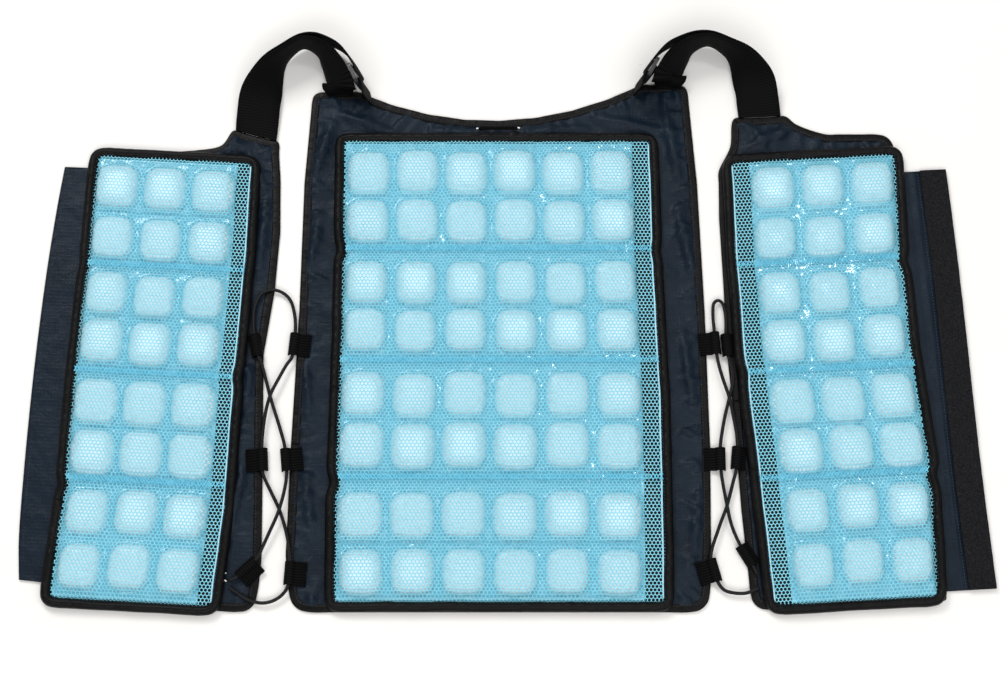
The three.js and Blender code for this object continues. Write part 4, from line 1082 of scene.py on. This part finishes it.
def banked(run, bank, side):
    """Across and normal of webbing with this run, tilted by the bank in degrees."""
    bank = math.radians(bank)
    level = unit(np.array([-run[1] * side, run[0] * side, 0.0]))
    across = level * math.cos(bank) + np.array([0, 0, math.sin(bank)])
    across = unit(across - run * (across @ run))
    return across, unit(np.cross(run, across)) * side


def banked_row(centres, banks, side):
    made = []
    for k, centre in enumerate(centres):
        run = unit(centres[min(k + 1, len(centres) - 1)] - centres[max(k - 1, 0)])
        made.append((centre, *banked(run, banks[k], side)))
    return made


def ribbon(name, stations, replaces, widths=None):
    """Webbing through stations of (centre, across, normal), with soft edges and ribs."""
    widths = widths or [1.0] * len(stations)
    values = np.array([[*np.concatenate(station), share] for station, share in zip(stations, widths)])
    line = smooth_line(values, 0.55, False)
    centres, across, normal = line[:, :3], line[:, 3:6], line[:, 6:9]
    across = unit_rows(across)
    normal = unit_rows(normal - across * np.sum(normal * across, axis=1)[:, None])
    half, thick = STRAP.width / 2, STRAP.thickness / 2
    shape = [(-1, -0.4), (-0.985, -0.85), (-0.5, -1), (0, -1), (0.5, -1), (0.985, -0.85), (1, -0.4),
             (1, 0.4), (0.985, 0.85), (0.5, 1), (0, 1), (-0.5, 1), (-0.985, 0.85), (-1, 0.4)]
    rib_pitch, rib_depth = 2.3, 0.14
    rib = 1 - rib_depth + rib_depth * np.cos(distances(centres) * 2 * math.pi / rib_pitch)
    sections = [[(a * half * w, b * thick * r) for a, b in shape] for r, w in zip(rib, line[:, 9])]
    sweep(name, centres, across, normal, sections, False, "webbing", replaces)


def add_strap(name, spec):
    side = spec["side"]
    foot, to = np.array(spec["foot"]), np.array(spec["to"])
    least = STRAP.thickness * 1.5 + 2 * STRAP.gap

    def station(row):
        share, arch, rise = row[:3]
        middle = lerp(foot, to, share)
        return np.array([middle[0], middle[1] + arch * spec["arch"], max(rise * STRAP.width, least)])

    centres = [station(row) for row in INNER_LAYER]
    for share, drop, height, _, _ in TUCK:
        middle = lerp(foot, to, share)
        centres.append(np.array([middle[0], middle[1] - drop, height]))
    inner = banked_row(centres, [row[3] for row in INNER_LAYER + TUCK], side)
    inner[0] = (inner[0][0], np.array([*spec["across"], 0.0]), inner[0][2])
    widths = [1.0] * len(INNER_LAYER) + [row[4] for row in TUCK]
    ribbon(f"{name}_webbing_upper", inner, [f"{name}_strap_inner"], widths)

    layer = STRAP.thickness + STRAP.gap
    shared = [(centre - normal * layer, across, normal) for centre, across, normal in inner[:PARTING + 1]]
    start, end = (station(row) for row in BUCKLE_RUN)
    branch = [shared[PARTING][0], *(station(row) for row in OUTER_BRANCH), start]
    banks = [INNER_LAYER[PARTING][3], *(row[3] for row in OUTER_BRANCH), BUCKLE.bank]
    bowed = banked_row(branch, banks, side)[1:-1]
    run = unit(end - start)
    across, normal = banked(run, BUCKLE.bank, side)
    middle = (start + end) / 2
    weave = BUCKLE.thickness / 2 + STRAP.thickness / 2 + STRAP.gap
    centre_bar = BUCKLE.bar / 2 + BUCKLE.clear
    end_bar = BUCKLE.length / 2 - BUCKLE.bar - BUCKLE.clear
    beyond = BUCKLE.length / 2 + BUCKLE.clear
    woven = [
        (middle + run * at + normal * lift, across, normal)
        for at, lift in ((-beyond, -weave), (-end_bar, -weave), (-centre_bar, weave),
                         (centre_bar, weave), (end_bar, -weave), (beyond, -weave))
    ]
    ribbon(f"{name}_webbing_under", [*shared, *bowed, *woven, (station(OUTER_FOOT), across, normal)],
           [f"{name}_strap_outer"])
    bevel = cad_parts[f"{name}_slide_buckle"].modifiers.new("edges", "BEVEL")
    bevel.width = BUCKLE.bevel * MM
    bevel.segments = 3
    dress(f"{name}_slide_buckle", "buckle")


for name, spec in STRAPS.items():
    add_strap(name, spec)

# Lacing


def add_lace(name, route):
    line = smooth_line(route, 1.6, False)
    piece = tube(
        f"{name}_cord", line, CORD_DIAMETER / 2, "cord", sides=10, replaces=[f"{name}_lace"],
    )


def add_keeper(name, lace, at, inward, share):
    """Webbing tunnel over the lace, with a flat tab sewn down beside it."""
    start, end = (np.array(LACES[lace][k][:2]) for k in (at, at + 1))
    middle = (start + end) / 2
    run = unit(end - start) * (1 if end[1] > start[1] else -1)
    outwards = np.array([run[1], -run[0]]) * (1 if inward > 0 else -1)
    floor, web, room = KEEPER.floor, KEEPER.web, KEEPER.inside
    tab_end = room + web + max(KEEPER.tab * share, 0.8)
    top = KEEPER.top
    shoulder, crest = floor + 2.2, 0.6
    outer = [
        (tab_end, floor + web), (room + web * 1.6, floor + web), (room + web, floor + 2.4),
        (room * 0.8, top - crest), (0, top), (-room * 0.8, top - crest), (-room - web, shoulder),
        (-KEEPER.lip - 0.1, floor),
    ]
    under = [
        (-room, floor + 0.1), (-room, shoulder), (-room * 0.6, top - web - crest / 2), (0, top - web),
        (room * 0.6, top - web - crest / 2), (room, shoulder), (room, floor + 0.1), (tab_end, floor),
    ]
    shape = outer + under
    steps = np.linspace(-KEEPER.length / 2, KEEPER.length / 2, 27)
    centres = np.array([[*(middle + run * s), 0.0] for s in steps])
    rib_pitch, rib_depth = 2.2, 0.05
    ribs = rib_depth * np.cos(steps * 2 * math.pi / rib_pitch)
    sections = [
        [(a * (1 + r * 0.05), b + (r if k < len(outer) else 0)) for k, (a, b) in enumerate(shape)]
        for r in ribs
    ]
    across = (*outwards, 0.0)
    sweep(f"{name}_tunnel", centres, across, UP, sections, False, "webbing", [f"keeper_{name}"])


for name, route in LACES.items():
    add_lace(name, route)
for name, spec in KEEPERS.items():
    add_keeper(name, *spec)


def add_block(name, middle, size, turn, look, slot):
    """A small soft-cornered block of cloth or thread, laid on its panel."""
    middle, half = np.array(middle), np.array(size) / 2
    ring = [(-1, -0.8), (-0.9, -1), (0.9, -1), (1, -0.8), (1, 0.8), (0.9, 1), (-0.9, 1), (-1, 0.8)]
    points, count = [], len(ring)
    for level, inset in ((-1, 1.0), (0.5, 1.0), (1, 0.9)):
        for corner in ring:
            flat = turned(np.array(corner) * half[:2] * inset, math.radians(turn))
            points.append(middle + [*flat, level * half[2]])
    faces = [tuple(range(count)), tuple(range(2 * count, 3 * count))]
    for k in range(2 * count):
        over = k + 1 if (k + 1) % count else k + 1 - count
        faces.append((k, over, over + count, k + count))
    add_mesh(name, points, faces, look)


# The edge of a sewn-in loop under the neckline, the joint of the binding and thread ends: name,
# middle, size, turn in degrees, look and slot
SMALL_PIECES = [
    ("loop_edge", (-1.8, 193.6, 8.9), (36.0, 2.4, 1.8), 0.5, "webbing", "binding"),
    ("loop_thread_left", (-20.4, 193.2, 9.4), (1.8, 1.2, 0.8), 20, "white", "binding"),
    ("loop_thread_right", (16.9, 193.8, 9.4), (2.2, 1.2, 0.8), -15, "white", "binding"),
    ("binding_joint", (11.6, 186.6, 7.6), (9.5, 7.5, 3.2), 8, "binding", "binding"),
    ("keeper_thread_high", (-233.6, -206.6, 4.8), (2.6, 1.0, 0.8), 35, "white", "webbing"),
    ("keeper_thread_low", (-233.2, -212.6, 4.8), (2.6, 1.0, 0.8), -30, "white", "webbing"),
    ("buckle_thread", (124.6, 241.0, 44.5), (1.8, 1.4, 0.8), 0, "white", "webbing"),
]
for row in SMALL_PIECES:
    add_block(*row)

# Table and light


def add_floor():
    bpy.ops.mesh.primitive_plane_add(size=12, location=(0, 0, -0.0002))
    floor = bpy.context.object
    floor.name = "floor"
    look = Look("table_top", 0.55, 0.3)
    look.color(look.noise(0.4, 2), (0.3, (0.78, 0.76, 0.735)), (0.7, (0.80, 0.78, 0.755)))
    floor.data.materials.append(look.material)


def area_light(name, place, aim, size, power):
    """A soft lamp at a place, aimed at another: its size in metres and its power in watts."""
    data = bpy.data.lights.new(name, "AREA")
    data.shape = "RECTANGLE"
    data.size, data.size_y = size
    data.energy = power
    lamp = bpy.data.objects.new(name, data)
    lamp.location = place
    lamp.rotation_euler = (Vector(aim) - Vector(place)).to_track_quat("-Z", "Y").to_euler()
    bpy.context.scene.collection.objects.link(lamp)


def add_light():
    world = bpy.data.worlds.new("studio")
    bpy.context.scene.world = world
    world.use_nodes = True
    background = world.node_tree.nodes["Background"]
    background.inputs["Color"].default_value = (0.97, 0.985, 1.0, 1)
    background.inputs["Strength"].default_value = 0.5
    middle = (0, 0, 0)
    area_light("key", (-0.9, 1.5, 2.0), middle, (1.1, 0.8), 34.0)
    area_light("fill", (1.3, -0.6, 2.2), middle, (1.6, 1.6), 13.0)
    area_light("front", (-0.2, -1.7, 2.1), middle, (2.0, 1.2), 29.0)
    area_light("glints", (0.55, 0.75, 2.3), (0.2, 0, 0), (0.3, 0.2), 7.0)
    bpy.context.scene.view_settings.view_transform = "Standard"


add_floor()
add_light()
